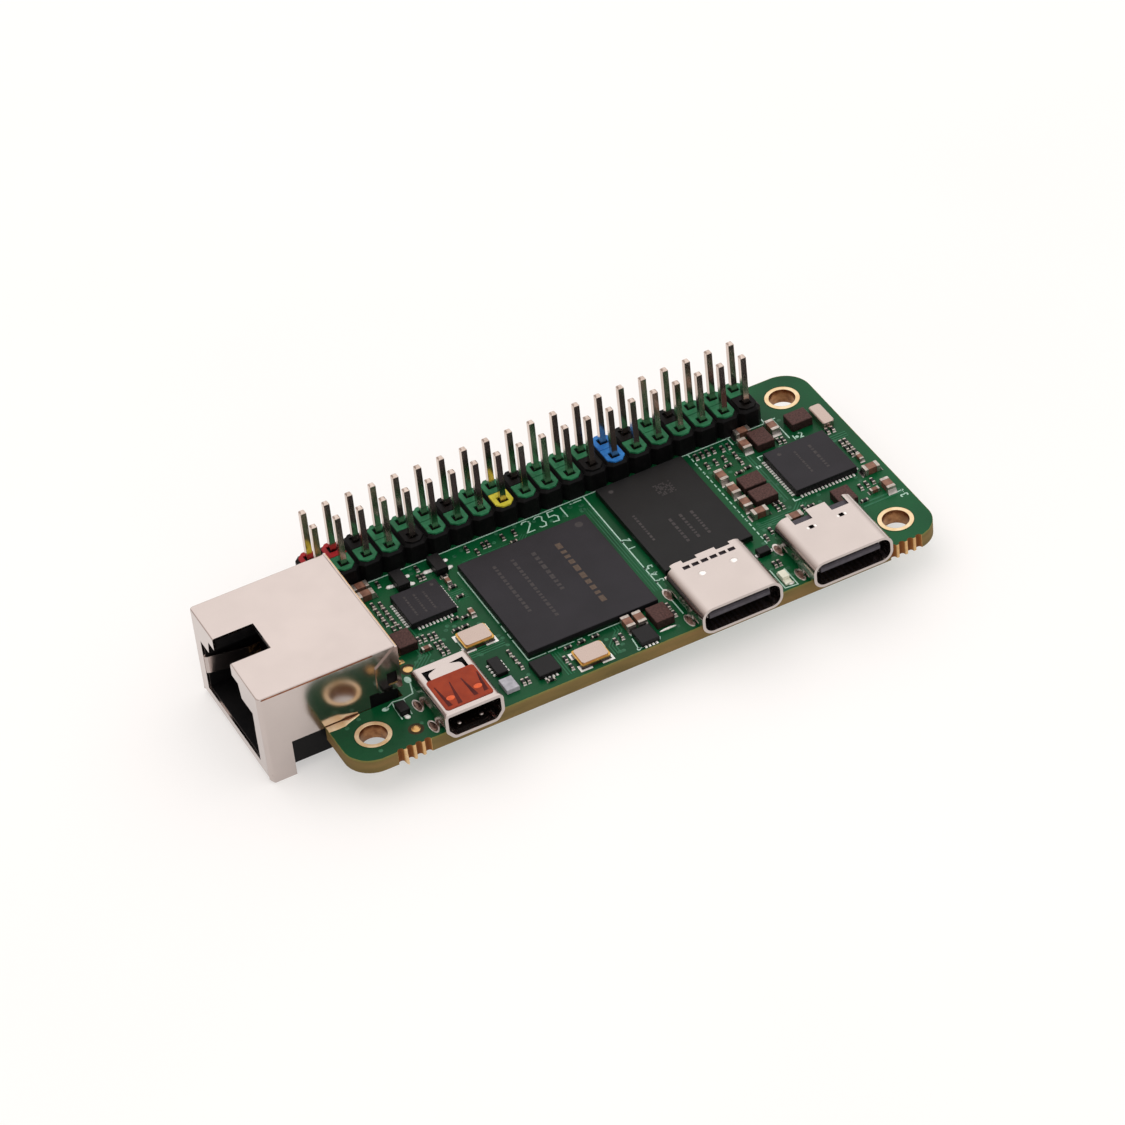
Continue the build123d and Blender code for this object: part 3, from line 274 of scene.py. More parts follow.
def mould_material(name, colour, roughness):
    """Black moulded epoxy with a fine sparkle of filler, soft clouding and painted shade on its upright
    sides.
    """
    paint = Paint(name, roughness, specular=0.2)
    grain = paint.noise(14.0, 5.0)
    cloud = paint.noise(0.25, 2.0)
    blend = paint.math("ADD", paint.math("MULTIPLY", grain, 0.5), paint.math("MULTIPLY", cloud, 0.5))
    clouded = paint.ramp(blend, [(0.35, scaled(colour, 0.78)), (0.65, scaled(colour, 1.25))])
    # Painted shade: upright sides dimmed to 0.4 of the top's colour
    paint.colour(paint.shade_upright_faces(clouded, 0.4))
    paint.vary_roughness(grain, roughness * 0.85, roughness * 1.15)
    paint.bump(paint.noise(30.0), 0.006)
    return paint.material


def shell_material(name, colour, roughness, grain=(0.4, 6.0, 6.0), sides=1.0, depth=0.0015):
    """Plated sheet steel with faint rolling lines and soft stains; a sides share below 1 dims upright and
    bent faces with painted shade.
    """
    paint = Paint(name, roughness, metallic=1.0)
    stains = paint.noise(0.18, 3.0)
    plate = paint.ramp(stains, [(0.3, scaled(colour, 0.93)), (0.7, colour)])
    # Painted shade on upright and bent faces, when sides is below 1
    paint.colour(paint.shade_upright_faces(plate, sides) if sides < 1 else plate)
    lines = paint.noise(3.0, 2.0, grain)
    paint.vary_roughness(lines, roughness * 0.7, roughness * 1.3)
    paint.bump(lines, depth)
    return paint.material


def crystal_tray_material():
    """Dark ceramic tray with a gold rim along its top."""
    paint = Paint("crystal_tray", 0.3)
    wobble = paint.math("MULTIPLY", paint.noise(3.0), 0.05 * MM)
    height = paint.math("ADD", paint.split(paint.place)[2], wobble)
    at_rim = paint.math("GREATER_THAN", height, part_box("crystal_bases")[1].z - 0.12 * MM)
    gold = paint.ramp(paint.noise(1.2), [(0.3, srgb(196, 148, 74)), (0.7, srgb(228, 186, 110))])
    ceramic = paint.ramp(paint.noise(2.0), [(0.3, srgb(30, 20, 16)), (0.7, srgb(54, 38, 30))])
    paint.colour(paint.mix(at_rim, ceramic, gold))
    paint.link(at_rim, paint.shader.inputs["Metallic"])
    paint.bump(paint.noise(8.0), 0.004)
    return paint.material


def tape_material():
    """Amber film: mostly tinted and see-through, with a soft sheen of its own."""
    paint = Paint("amber_tape", 0.3, specular=0.3)
    drift = paint.noise(0.8)
    paint.colour(paint.ramp(drift, [(0.3, srgb(156, 54, 24)), (0.7, srgb(178, 68, 30))]))
    paint.bump(paint.noise(1.5), 0.01)
    clear = paint.node("ShaderNodeBsdfTransparent")
    clear.inputs["Color"].default_value = srgb(236, 126, 66)
    blend = paint.node("ShaderNodeMixShader")
    blend.inputs["Fac"].default_value = 0.62
    paint.link(clear.outputs[0], blend.inputs[1])
    paint.link(paint.shader.outputs[0], blend.inputs[2])
    paint.link(blend.outputs[0], paint.tree.nodes["Material Output"].inputs["Surface"])
    return paint.material


def floor_material():
    """Pale floor that glows a little, because the photograph's background is pure white."""
    paint = Paint("pale_floor", 0.8)
    drift = paint.noise(0.01)
    paint.colour(paint.ramp(drift, [(0.3, (0.48, 0.475, 0.47, 1)), (0.7, (0.52, 0.515, 0.51, 1))]))
    paint.vary_roughness(drift, 0.64, 1.0)
    paint.bump(paint.noise(0.08), 0.002)
    paint.shader.inputs["Emission Color"].default_value = (1.0, 0.985, 0.97, 1.0)
    paint.shader.inputs["Emission Strength"].default_value = 0.45
    return paint.material


MATERIALS = {
    "board": board_material(),
    "gold": spotted("gold_plate", (200, 156, 96), (228, 192, 134), 0.9, 0.26, 1.0),
    "ring": spotted("ring_plating", (226, 194, 146), (246, 226, 190), 0.9, 0.3, 1.0),
    # Hole walls: a darker, browner copy of the ring plating, as painted shade
    "barrel": spotted("plated_barrel", (124, 82, 54), (174, 126, 86), 1.5, 0.32, 1.0, 0.01),
    # Gold contacts darkened to a dull brown: painted shade deep in the socket mouths
    "contacts": spotted("shaded_contacts", (58, 44, 28), (96, 76, 48), 2.0, 0.4, 1.0),
    "seam": spotted("sheet_seam", (104, 58, 40), (164, 104, 70), 1.4, 0.5, 0.6, 0.006),
    "raw_edge": spotted("raw_sheet_edge", (208, 160, 100), (244, 208, 152), 1.2, 0.35, 1.0, 0.006),
    "pins": spotted("pin_plate", (190, 172, 160), (222, 206, 196), 1.2, 0.16, 1.0, 0.003,
                    stretch=(1, 1, 0.2)),
    # The sides shares of the two shell nickels paint shade on their upright and bent faces
    "nickel": shell_material("nickel_shell", srgb(210, 199, 194), 0.2, sides=0.8),
    "net_nickel": shell_material("network_can_nickel", srgb(212, 200, 195), 0.14, (6.0, 0.4, 6.0),
                                 sides=0.84),
    "steel": shell_material("spring_steel", srgb(190, 184, 180), 0.25, (1.0, 1.0, 1.0), depth=0.0008),
    "solder": spotted("bright_solder", (144, 140, 136), (196, 191, 186), 1.6, 0.28, 1.0, 0.01),
    # Solder near white: its own silver colour lifted by a painted glint
    "bright": spotted("solder_painted_glint", (226, 224, 220), (250, 249, 246), 1.6, 0.35, 0.25, 0.008),
    # Nickel of the serial shells' dimples and lips, brighter than the shell: painted highlight
    "pressed": spotted("nickel_painted_highlight", (244, 240, 236), (254, 252, 250), 1.0, 0.24, 1.0, 0.002),
    "tongue": spotted("socket_tongue", (64, 61, 67), (80, 77, 84), 2.0, 0.5, depth=0.006, specular=0.2),
    "rim": spotted("plated_slot_rim", (176, 170, 165), (222, 215, 210), 1.6, 0.3, 1.0, 0.01),
    "pool": spotted("dark_solder_pool", (74, 56, 50), (142, 116, 104), 2.4, 0.22, 1.0, 0.02),
    "tin": spotted("tinned_ends", (164, 155, 147), (208, 198, 190), 3.0, 0.32, 0.9, 0.006),
    "black": spotted("black_plastic", (9, 9, 10), (17, 16, 17), 2.0, 0.5, depth=0.006, specular=0.12),
    "header_black": spotted("header_black", (7, 7, 8), (15, 14, 15), 1.4, 0.45, depth=0.008, specular=0.1),
    "pale": spotted("pale_plastic", (186, 180, 166), (208, 202, 188), 1.5, 0.5, depth=0.006),
    "mould": mould_material("chip_mould", srgb(36, 34, 39), 0.46),
    "mould_memory": mould_material("memory_chip_mould", srgb(23, 23, 24), 0.46),
    "mould_dark": mould_material("small_chip_mould", srgb(20, 19, 21), 0.42),
    "laminate": spotted("chip_laminate", (8, 20, 14), (20, 38, 26), 2.0, 0.45, specular=0.2),
    # The sides shares of the coil and ceramic paint shade on their upright faces
    "coil": spotted("coil_mould", (56, 35, 32), (90, 62, 58), 5.0, 0.55, depth=0.02, specular=0.2,
                    sides=0.3),
    "ceramic": spotted("tan_ceramic", (104, 68, 54), (142, 102, 84), 1.8, 0.4, depth=0.006, specular=0.3,
                       sides=0.55),
    "resistor": spotted("resistor_glaze", (10, 10, 12), (24, 22, 24), 3.0, 0.3, specular=0.3),
    "lid": shell_material("crystal_lid", srgb(200, 181, 171), 0.3, (2.0, 2.0, 2.0)),
    "filter": spotted("pale_ceramic", (148, 148, 156), (178, 178, 186), 1.6, 0.4, depth=0.005),
    "lamp": spotted("lamp_resin", (214, 216, 196), (236, 234, 216), 1.6, 0.25, coat=0.3),
    "tray": crystal_tray_material(),
    "tape": tape_material(),
    "silk": spotted("legend_ink", (150, 190, 172), (190, 216, 204), 2.5, 0.6),
    "via": spotted("via_mask", (20, 72, 48), (44, 108, 74), 2.0, 0.35, specular=0.3),
    "mask_copper": spotted("copper_mask", (20, 88, 56), (34, 104, 70), 1.0, 0.34, depth=0.006,
                           specular=0.25),
    "moat": spotted("bare_laminate", (44, 38, 20), (66, 54, 32), 2.0, 0.6, specular=0.2),
    "mark": spotted("laser_mark", (58, 55, 56), (74, 70, 70), 4.0, 0.7, depth=0.002, specular=0.2),
    "mark_warm": spotted("warm_laser_mark", (78, 66, 58), (96, 82, 72), 4.0, 0.7, depth=0.002,
                         specular=0.2),
    # Dark strips over the slits under the tape: painted shade
    "tape_slit_shade": spotted("amber_tape_slit_shade", (66, 26, 26), (88, 36, 32), 1.2, 0.55,
                           specular=0.1),
    # Brighter orange over the finger tips under the tape: painted reflection of the metal
    "tape_tip_glint": spotted("amber_tape_tip_glint", (196, 66, 14), (222, 90, 22), 2.0, 0.4),
    "floor": floor_material(),
}
for hue, dark_hue, light_hue in (
    ("green", (22, 92, 58), (40, 118, 78)),
    ("red", (132, 14, 20), (166, 24, 30)),
    ("yellow", (188, 178, 44), (218, 210, 72)),
    ("blue", (24, 94, 170), (46, 130, 206)),
):
    MATERIALS[hue] = spotted(f"{hue}_tiles", dark_hue, light_hue, 1.1, 0.5, depth=0.008, specular=0.25)

# CAD nodes that wear each material
MATERIAL_NODES = {
    "board": "circuit_board",
    "ring": "mounting_rings",
    "header_black": "header_body header_tiles_black",
    "pins": "header_pins",
    "solder": "header_solder chip_solder_balls",
    "green": "header_tiles_green",
    "red": "header_tiles_red",
    "yellow": "header_tiles_yellow",
    "blue": "header_tiles_blue",
    "net_nickel": "network_shield network_ground_springs",
    "black": "network_housing video_insulator card_slot_base camera_socket_latch recovery_button_base",
    "gold": "network_contacts card_slot_contacts camera_socket_contacts",
    "nickel": "video_shell usb_left_shell usb_right_shell",
    "contacts": "video_contacts usb_left_contacts usb_right_contacts",
    "tape": "video_tape",
    "tongue": "usb_left_insulator usb_right_insulator",
    "steel": (
        "usb_left_side_latches usb_right_side_latches card_slot_cover card_slot_spring "
        "recovery_button_cover"
    ),
    "mould": "processor_mould network_chip power_chip",
    "mould_memory": "memory_mould",
    "laminate": "processor_substrate memory_substrate",
    "bright": "leadless_chip_pads",
    "mould_dark": "small_chips network_transformer",
    "tin": "small_chip_leads power_coil_terminals capacitor_ends resistor_ends network_transformer_leads",
    "coil": "power_coils",
    "ceramic": "capacitor_bodies",
    "resistor": "resistor_bodies",
    "tray": "crystal_bases",
    "lid": "crystal_lids clock_crystal",
    "filter": "signal_filter",
    "lamp": "status_lamp",
    "pale": "card_slot_slider camera_socket_body recovery_button_plunger",
}
NODE_MATERIALS = {node: material for material, nodes in MATERIAL_NODES.items() for node in nodes.split()}

# Points closer than this are one point, and an edge bent by more than this is a sharp one
WELD_GAP, SHARP_ANGLE = 0.0005, 35
# Widths of soft edges in millimetres, and the nodes whose sharp edges get them
SOFT_WIDTHS = {
    0.04: (
        "header_tiles_green header_tiles_red header_tiles_yellow header_tiles_blue header_tiles_black "
        "header_pins header_body capacitor_bodies signal_filter status_lamp processor_mould "
        "memory_mould power_chip network_chip small_chips camera_socket_body camera_socket_latch "
        "card_slot_cover recovery_button_plunger clock_crystal"
    ),
    0.05: "network_shield video_shell crystal_lids capacitor_ends",
    0.02: "resistor_bodies",
    0.03: "resistor_ends",
    0.16: "power_coils",
    0.1: "mounting_rings",
}
SOFT_EDGES = {node: width for width, nodes in SOFT_WIDTHS.items() for node in nodes.split()}


def dress_node(name, node):
    """Gives a CAD node its material and, where its edges show, a small rounding."""
    node.data.materials.clear()
    node.data.materials.append(MATERIALS[NODE_MATERIALS[name]])
    # The rings' upright faces, the hole walls, wear the darker, browner barrel plating: painted shade
    # inside the holes
    if name == "mounting_rings":
        node.data.materials.append(MATERIALS["barrel"])
        for face in node.data.polygons:
            face.material_index = int(abs(face.normal.z) < 0.5)
    if name in SOFT_EDGES:
        weld = node.modifiers.new("weld", "WELD")
        weld.merge_threshold = WELD_GAP * MM
        bevel = node.modifiers.new("soft_edges", "BEVEL")
        bevel.width = SOFT_EDGES[name] * MM
        bevel.segments = 2
        bevel.limit_method = "ANGLE"
        bevel.angle_limit = math.radians(SHARP_ANGLE)
        bevel.harden_normals = True


# ---------- mesh building
def mitres(path):
    """Each point of an (x, y) path, with its sideways direction and how much its turn leans."""
    turns = []
    for i, point in enumerate(path):
        here = Vector(point)
        before = Vector(path[max(i - 1, 0)])
        after = Vector(path[min(i + 1, len(path) - 1)])
        first = (here - before).normalized() if i else (after - here).normalized()
        second = (after - here).normalized() if i < len(path) - 1 else first
        side = Vector((-(first + second).y, (first + second).x)).normalized()
        lean = max(0.4, side.dot(Vector((-first.y, first.x))))
        turns.append((here, side, lean))
    return turns


def rectangle(low, high, z, inset=0.0):
    """Corners of a level rectangle, drawn in by the inset on every side."""
    (x0, y0), (x1, y1) = low, high
    x0, y0, x1, y1 = x0 + inset, y0 + inset, x1 - inset, y1 - inset
    return [(x0, y0, z), (x1, y0, z), (x1, y1, z), (x0, y1, z)]


class Pieces:
    """Collects points and faces, in millimetres from the board's front left corner."""

    def __init__(self):
        self.points = []
        self.faces = []

    def loft(self, rings):
        """Skin between rings of points, each ring in the same order, with end caps."""
        start = len(self.points)
        count = len(rings[0])
        for ring in rings:
            self.points += ring
        for level in range(len(rings) - 1):
            base = start + level * count
            for i in range(count):
                j = (i + 1) % count
                self.faces.append((base + i, base + j, base + count + j, base + count + i))
        last = start + (len(rings) - 1) * count
        self.faces.append(tuple(reversed(range(start, start + count))))
        self.faces.append(tuple(range(last, last + count)))

    def strip(self, path, width, low, high):
        """Flat line of a given width along (x, y) points, with mitred turns."""
        sections = []
        for here, side, lean in mitres(path):
            offset = side * (width / 2 / lean)
            left, right = here + offset, here - offset
            sections.append([(*left, low), (*left, high), (*right, high), (*right, low)])
        self.loft([list(reversed(s)) for s in sections])

    def block(self, low, high, rise, shrink=0.0):
        """Upright block on a rectangle, narrower at the top by shrink on each side."""
        self.loft([rectangle(low, high, rise[0]), rectangle(low, high, rise[1], shrink)])

    def ribbon(self, first, second, low, thick, side):
        """Flat band between two edges of (x, y) points, bevelled along them; side is 1 or -1."""
        sections = []
        for (x0, y0), (x1, y1) in zip(first, second):
            near = (x0 * 0.75 + x1 * 0.25, y0 * 0.75 + y1 * 0.25, low + thick)
            far = (x0 * 0.25 + x1 * 0.75, y0 * 0.25 + y1 * 0.75, low + thick)
            section = [(x0, y0, low), (x1, y1, low), far, near]
            sections.append(section if side > 0 else section[::-1])
        self.loft(sections)

    def turned(self, centre, profile, sides=20, stretch=(1, 1)):
        """Round piece from (radius, height) steps, which may be stretched into an oval."""
        rings = []
        for radius, height in profile:
            ring = []
            for i in range(sides):
                angle = math.tau * i / sides
                x = centre[0] + radius * stretch[0] * math.cos(angle)
                y = centre[1] + radius * stretch[1] * math.sin(angle)
                ring.append((x, y, height))
            rings.append(ring)
        self.loft(rings)


# A smooth piece keeps a crease where its faces meet at more than this
CREASE_ANGLE = 40


def add_object(name, data):
    """A new object in the scene."""
    made = bpy.data.objects.new(name, data)
    bpy.context.scene.collection.objects.link(made)
    return made


def mesh_piece(name, pieces, material, smooth=False):
    """Blender object from collected pieces, riding on the board."""
    mesh = bpy.data.meshes.new(name)
    points = [(CORNER.x + x * MM, CORNER.y + y * MM, z * MM) for x, y, z in pieces.points]
    mesh.from_pydata(points, [], pieces.faces)
    mesh.validate()
    piece = add_object(name, mesh)
    mesh.materials.append(MATERIALS[material])
    for face in mesh.polygons:
        face.use_smooth = smooth
    if smooth:
        mesh.set_sharp_from_angle(angle=math.radians(CREASE_ANGLE))
    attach(piece, BODY)
    return piece


def islands(node):
    """Low and high corner of each separate solid of a CAD node, in millimetres from the corner."""
    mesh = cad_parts[node].data
    places, group = {}, list(range(len(mesh.vertices)))

    def root(i):
        while group[i] != i:
            group[i] = group[group[i]]
            i = group[i]
        return i

    for vertex in mesh.vertices:
        key = tuple(round(c / MM, 3) for c in vertex.co)
        group[root(vertex.index)] = root(places.setdefault(key, vertex.index))
    for edge in mesh.edges:
        group[root(edge.vertices[0])] = root(edge.vertices[1])
    boxes = {}
    for vertex in mesh.vertices:
        point = [c / MM for c in (vertex.co.x - CORNER.x, vertex.co.y - CORNER.y, vertex.co.z)]
        low, high = boxes.setdefault(root(vertex.index), (list(point), list(point)))
        for axis in range(3):
            low[axis] = min(low[axis], point[axis])
            high[axis] = max(high[axis], point[axis])
    return sorted((tuple(low), tuple(high)) for low, high in boxes.values())


def middle(box):
    """Middle of a low and high corner."""
    return Vector([(a + b) / 2 for a, b in zip(*box)])


def top_of(node):
    """Height of a CAD node's top, in millimetres."""
    return round(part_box(node)[1].z / MM, 4)


def boxes_of(names):
    """Boxes of every solid of several CAD nodes, named in one text."""
    return [box for name in names.split() for box in islands(name)]


TOP_PARTS = boxes_of(
    "processor_mould memory_mould network_chip power_chip power_coils small_chips capacitor_bodies "
    "capacitor_ends resistor_ends crystal_bases clock_crystal signal_filter status_lamp usb_left_shell "
    "usb_right_shell video_shell network_shield header_body mounting_rings"
)
UNDERSIDE_PARTS = boxes_of(
    "card_slot_cover card_slot_base camera_socket_body camera_socket_contacts recovery_button_cover "
    "network_transformer network_transformer_leads capacitor_ends mounting_rings header_solder"
)


# ---------- solder
# Reach and rise of a fillet as shares of its end's height, the steps of its cheek, and how far it
# flares at the foot and laps over itself
FILLET_REACH, FILLET_RISE, FILLET_STEPS, FILLET_FLARE, FILLET_LAP = 0.4, 0.6, 4, 0.04, 0.01
# Leads wider than this are pads under a chip, and slivers narrower than the second number are left out
WIDEST_LEAD, THINNEST_LEAD = 1.5, 0.02
# Steps of the oval rim round a socket's leg, of the pool inside it and of a free pad
LEG_RIM = [(0.5, TOP), (0.48, TOP + 0.045), (0.42, TOP + 0.05), (0.38, TOP + 0.015)]
LEG_POOL = [(0.39, TOP), (0.36, TOP + 0.022), (0.22, TOP + 0.045), (0.04, TOP + 0.06)]
FREE_PAD = [(0.5, TOP), (0.46, TOP + 0.07), (0.3, TOP + 0.14), (0.03, TOP + 0.17)]
# Centre and stretch of each free pad, beside the transistors, the diodes and the lamp
FREE_PADS = (
    ((14.2, 22.1), (0.75, 0.55)), ((16.4, 22.6), (0.6, 0.5)), ((16.3, 21.3), (0.75, 0.5)),
    ((18.3, 22.1), (0.75, 0.55)), ((20.7, 22.7), (0.6, 0.5)), ((20.6, 21.5), (0.8, 0.5)),
    ((7.44, 3.91), (0.55, 0.5)), ((34.6, 1.5), (1.9, 0.26)), ((48.0, 0.8), (0.7, 0.5)),
)


def chip_fillets(pieces, ends, bodies):
    """Hollow-cheeked solder fillet outside each end of each chip component."""
    centres = [middle(box) for box in bodies]
    for low, high in ends:
        here = middle((low, high))
        away = here - min(centres, key=lambda c: (c - here).length)
        axis = 0 if abs(away.x) > abs(away.y) else 1
        other = 1 - axis
        side = 1 if away[axis] > 0 else -1
        up = 1 if low[2] > 0 else -1
        face = high[axis] if side > 0 else low[axis]
        foot = low[2] if up > 0 else high[2]
        height = high[2] - low[2]
        rings = []
        for step in range(FILLET_STEPS + 1):
            share = step / FILLET_STEPS
            out = face + side * height * FILLET_REACH * (1 - share)
            top = foot + up * (height * FILLET_RISE * share * share + FILLET_LAP)
            flare = FILLET_FLARE * (1 - share)
            left, right = low[other] - flare, high[other] + flare
            corners = ((left, foot), (right, foot), (right, top), (left, top))
            rings.append([(spread, out, z) if axis else (out, spread, z) for spread, z in corners])
        pieces.loft(rings)


def outside(low, high, other_low, other_high):
    """A span without the end of it that lies inside another span."""
    if low < other_low < high:
        return low, other_low
    if low < other_high < high:
        return other_high, high
    return low, high


def lead_solder(pieces, leads, chips, height):
    """Rounded solder on the part of each lead that stands outside its chip."""
    for low, high in leads:
        here = middle((low, high))
        chip = min(chips, key=lambda box: (middle(box) - here).length)
        x0, x1 = outside(low[0], high[0], chip[0][0], chip[1][0])
        y0, y1 = outside(low[1], high[1], chip[0][1], chip[1][1])
        width = min(x1 - x0, y1 - y0)
        if high[0] - low[0] > WIDEST_LEAD or width <= THINNEST_LEAD:
            continue
        foot = high[2] - 0.01
        pieces.loft([
            rectangle((x0, y0), (x1, y1), foot + height * rise, inset)
            for inset, rise in ((-0.02, 0.0), (width * 0.077, 0.6), (width * 0.22, 1.0))
        ])


def leg_ovals(rims, pools, node, spots, outward):
    """Oval plated slots round the legs of a socket: a bright rim round a dark glossy pool."""
    low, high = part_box(node)
    front = (low.y - CORNER.y) / MM
    for x in ((low.x - CORNER.x) / MM - outward, (high.x - CORNER.x) / MM + outward):
        for spot in spots:
            for pieces, profile in ((rims, LEG_RIM), (pools, LEG_POOL)):
                pieces.turned((x, front + spot), profile, stretch=(0.92, 2.0))


def corner_pads(pads, box, reach, arms):
    """L-shaped bright pads that show round the corners of a leadless part."""
    (x0, y0, _), (x1, y1, _) = box
    for x, side_x in ((x0, -1), (x1, 1)):
        for y, side_y in ((y0, -1), (y1, 1)):
            out_x, out_y = x + side_x * reach, y + side_y * reach
            pads.strip([(x - side_x * arms[0], out_y), (out_x, out_y), (out_x, y - side_y * arms[1])],
                       0.24, TOP, TOP + 0.03)


def make_solder():
    """Every solder joint that shows."""
    chips = Pieces()
    for ends, bodies in (("capacitor_ends", "capacitor_bodies"), ("resistor_ends", "resistor_bodies")):
        chip_fillets(chips, islands(ends), islands(bodies))
    mesh_piece("chip_component_solder", chips, "solder", smooth=True)
    leads = Pieces()
    lead_solder(leads, islands("leadless_chip_pads"), islands("network_chip") + islands("power_chip"), 0.1)
    lead_solder(leads, islands("small_chip_leads"), islands("small_chips"), 0.12)
    mesh_piece("chip_lead_solder", leads, "bright", smooth=True)
    bright = Pieces()
    for box in islands("crystal_bases"):
        corner_pads(bright, box, 0.14, (1.05, 0.7))
    for spot, size in FREE_PADS:
        bright.turned(spot, FREE_PAD, stretch=size)
    mesh_piece("bright_solder_pads", bright, "bright", smooth=True)
    rims, pools = Pieces(), Pieces()
    for node in ("usb_left_shell", "usb_right_shell"):
        leg_ovals(rims, pools, node, (2.9, 7.35), 0.0)
    leg_ovals(rims, pools, "video_shell", (2.54, 6.0), 0.25)
    mesh_piece("socket_leg_rims", rims, "rim", smooth=True)
    mesh_piece("socket_leg_solder", pools, "pool", smooth=True)


# ---------- board surface
LEGEND_WIDTH = 0.13
LEGEND_PATHS = (
    # Along the header and the network socket's chips
    [(12.7, 23.87), (15.0, 23.87)], [(16.2, 23.87), (19.2, 23.87)],
    [(20.5, 23.87), (58.0, 23.87), (58.0, 25.2)], [(35.2, 23.5), (36.5, 23.5)],
    [(16.3, 9.3), (16.3, 11.8)],
    # Round the processor
    [(20.0, 20.9), (20.0, 22.0)], [(20.95, 20.4), (20.95, 11.2)], [(20.95, 10.8), (20.95, 9.7)],
    [(20.95, 9.4), (20.95, 8.6)], [(20.95, 8.3), (20.95, 4.85), (22.9, 4.85)],
    [(23.1, 4.85), (24.0, 4.85)], [(24.2, 4.85), (26.0, 4.85)], [(26.3, 4.85), (26.9, 4.85)],
    [(27.5, 4.85), (31.2, 4.85)],
    [(36.9, 23.8), (36.9, 2.6)],
    # Round the power chip and between the serial sockets
    [(58.95, 24.0), (58.95, 20.4)], [(47.15, 3.6), (47.15, 0.45), (48.5, 0.3), (48.5, 3.1)],
    [(54.7, 18.9), (54.7, 19.5), (55.3, 19.5)], [(53.6, 22.6), (53.6, 24.0), (54.3, 24.0)],
    [(58.2, 24.05), (59.3, 24.05)], [(42.0, 24.7), (42.8, 24.7)],
    [(54.5, 11.9), (54.5, 11.45), (55.2, 11.45)],
    # Beside the video socket
    [(9.72, 8.2), (9.3, 6.72), (8.16, 6.5), (7.06, 6.67), (6.15, 6.12)],
    [(7.0, 6.6), (6.88, 5.61), (6.82, 3.9)], [(8.15, 6.45), (8.0, 5.4), (7.95, 4.1)],
    [(31.1, 2.8), (31.05, 2.5)], [(30.93, 2.11), (30.78, 0.42), (33.2, 0.6), (33.24, 0.85)],
)
# Centre, radius and stretch of each printed dot
LEGEND_DOTS = (
    ((9.72, 8.75), 0.42, (0.8, 1.2)), ((6.05, 6.1), 0.34, (1.1, 0.8)), ((59.7, 20.2), 0.2, (1, 1)),
    ((54.0, 18.1), 0.3, (1.1, 0.9)), ((30.78, 0.42), 0.2, (1, 1)), ((33.25, 0.85), 0.17, (1, 1)),
)
# Strokes of plain counting numerals on a grid two wide and four high
NUMERALS = {
    "1": [[(0.5, 0), (0.5, 4)]],
    "2": [[(0, 3.4), (0.5, 4), (1.5, 4), (2, 3.4), (2, 2.6), (0, 0), (2, 0)]],
    "3": [[(0, 3.5), (0.6, 4), (1.5, 4), (2, 3.4), (1.5, 2.1), (2, 1.2), (1.6, 0), (0.5, 0), (0, 0.5)]],
    "4": [[(1.6, 0), (1.6, 4), (0, 1.3), (2.2, 1.3)]],
    "5": [[(2, 4), (0.3, 4), (0, 2.3), (1.4, 2.3), (2, 1.6), (1.6, 0), (0, 0.2)]],
}


def numerals(lines, text, start, step, height, turn):
    """Row of numerals, turned by an angle in degrees."""
    scale = height / 4
    c, s = math.cos(math.radians(turn)), math.sin(math.radians(turn))
    for place, digit in enumerate(text):
        x0 = start[0] + step[0] * place
        y0 = start[1] + step[1] * place
        for stroke in NUMERALS[digit]:
            path = [(x0 + scale * (x * c - y * s), y0 + scale * (x * s + y * c)) for x, y in stroke]
            lines.strip(path, 0.14, TOP, TOP + INK)


def make_silkscreen():
    """Printed legend: outlines, dots, a dashed line and a few counting numerals."""
    lines = Pieces()
    for path in LEGEND_PATHS:
        lines.strip(path, LEGEND_WIDTH, TOP, TOP + INK)
    for number in range(21):
        start = 7.3 + number * 0.8
        lines.strip([(48.95, start), (48.95, start + 0.5)], LEGEND_WIDTH, TOP, TOP + INK)
    for spot, radius, stretch in LEGEND_DOTS:
        lines.turned(spot, [(radius, TOP), (radius * 0.92, TOP + INK)], 16, stretch)
    for text, start, step, height, turn in (
        ("2351", (29.6, 21.9), (1.45, 0), 1.7, 0), ("12", (37.7, 14.0), (0, 1.2), 0.8, 90),
        ("345", (37.7, 8.0), (0, 1.2), 0.8, 90), ("12", (59.3, 19.9), (0.7, 0), 0.7, 0),
        ("34", (64.5, 6.1), (0, 0.7), 0.7, 90),
    ):
        numerals(lines, text, start, step, height, turn)
    mesh_piece("printed_legend", lines, "silk")


def clear_of(parts, x, y, margin):
    """Whether a spot on the board is clear of every part in a list of boxes."""
    return not any(
        low[0] - margin < x < high[0] + margin and low[1] - margin < y < high[1] + margin
        for low, high in parts
    )


VIA = [(0.24, TOP), (0.2, TOP + 0.02), (0.12, TOP + 0.02), (0.08, TOP + 0.008)]


def scatter_vias(dots, profile, span, count, parts, margin):
    """Vias at random spots of a span (x0, x1, y0, y1) that are clear of the parts."""
    x0, x1, y0, y1 = span
    for _ in range(count):
        x, y = random.uniform(x0, x1), random.uniform(y0, y1)
        if clear_of(parts, x, y, margin):
            dots.turned((x, y), profile, 10)


def make_vias():
    """Small plated holes under the mask, in loose clusters between the parts."""
    dots = Pieces()
    for span, count in (
        ((11.0, 20.5, 7.2, 23.6), 90), ((20.4, 36.5, 20.9, 23.7), 26), ((48.9, 64.2, 7.0, 23.8), 120),
        ((15.6, 36.6, 0.8, 4.6), 40), ((0.9, 9.0, 0.8, 6.6), 8), ((46.0, 49.0, 0.8, 9.0), 14),
    ):
        scatter_vias(dots, VIA, span, count, TOP_PARTS, 0.25)
    mesh_piece("mask_covered_vias", dots, "via", smooth=True)


def trace_bundle(lines, path, count, pitch, width, rise=(TOP, TOP + 0.018)):
    """Parallel copper lines that follow one path, side by side."""
    for number in range(count):
        shift = (number - (count - 1) / 2) * pitch
        moved = [tuple(here + side * (shift / lean)) for here, side, lean in mitres(path)]
        lines.strip(moved, width, *rise)


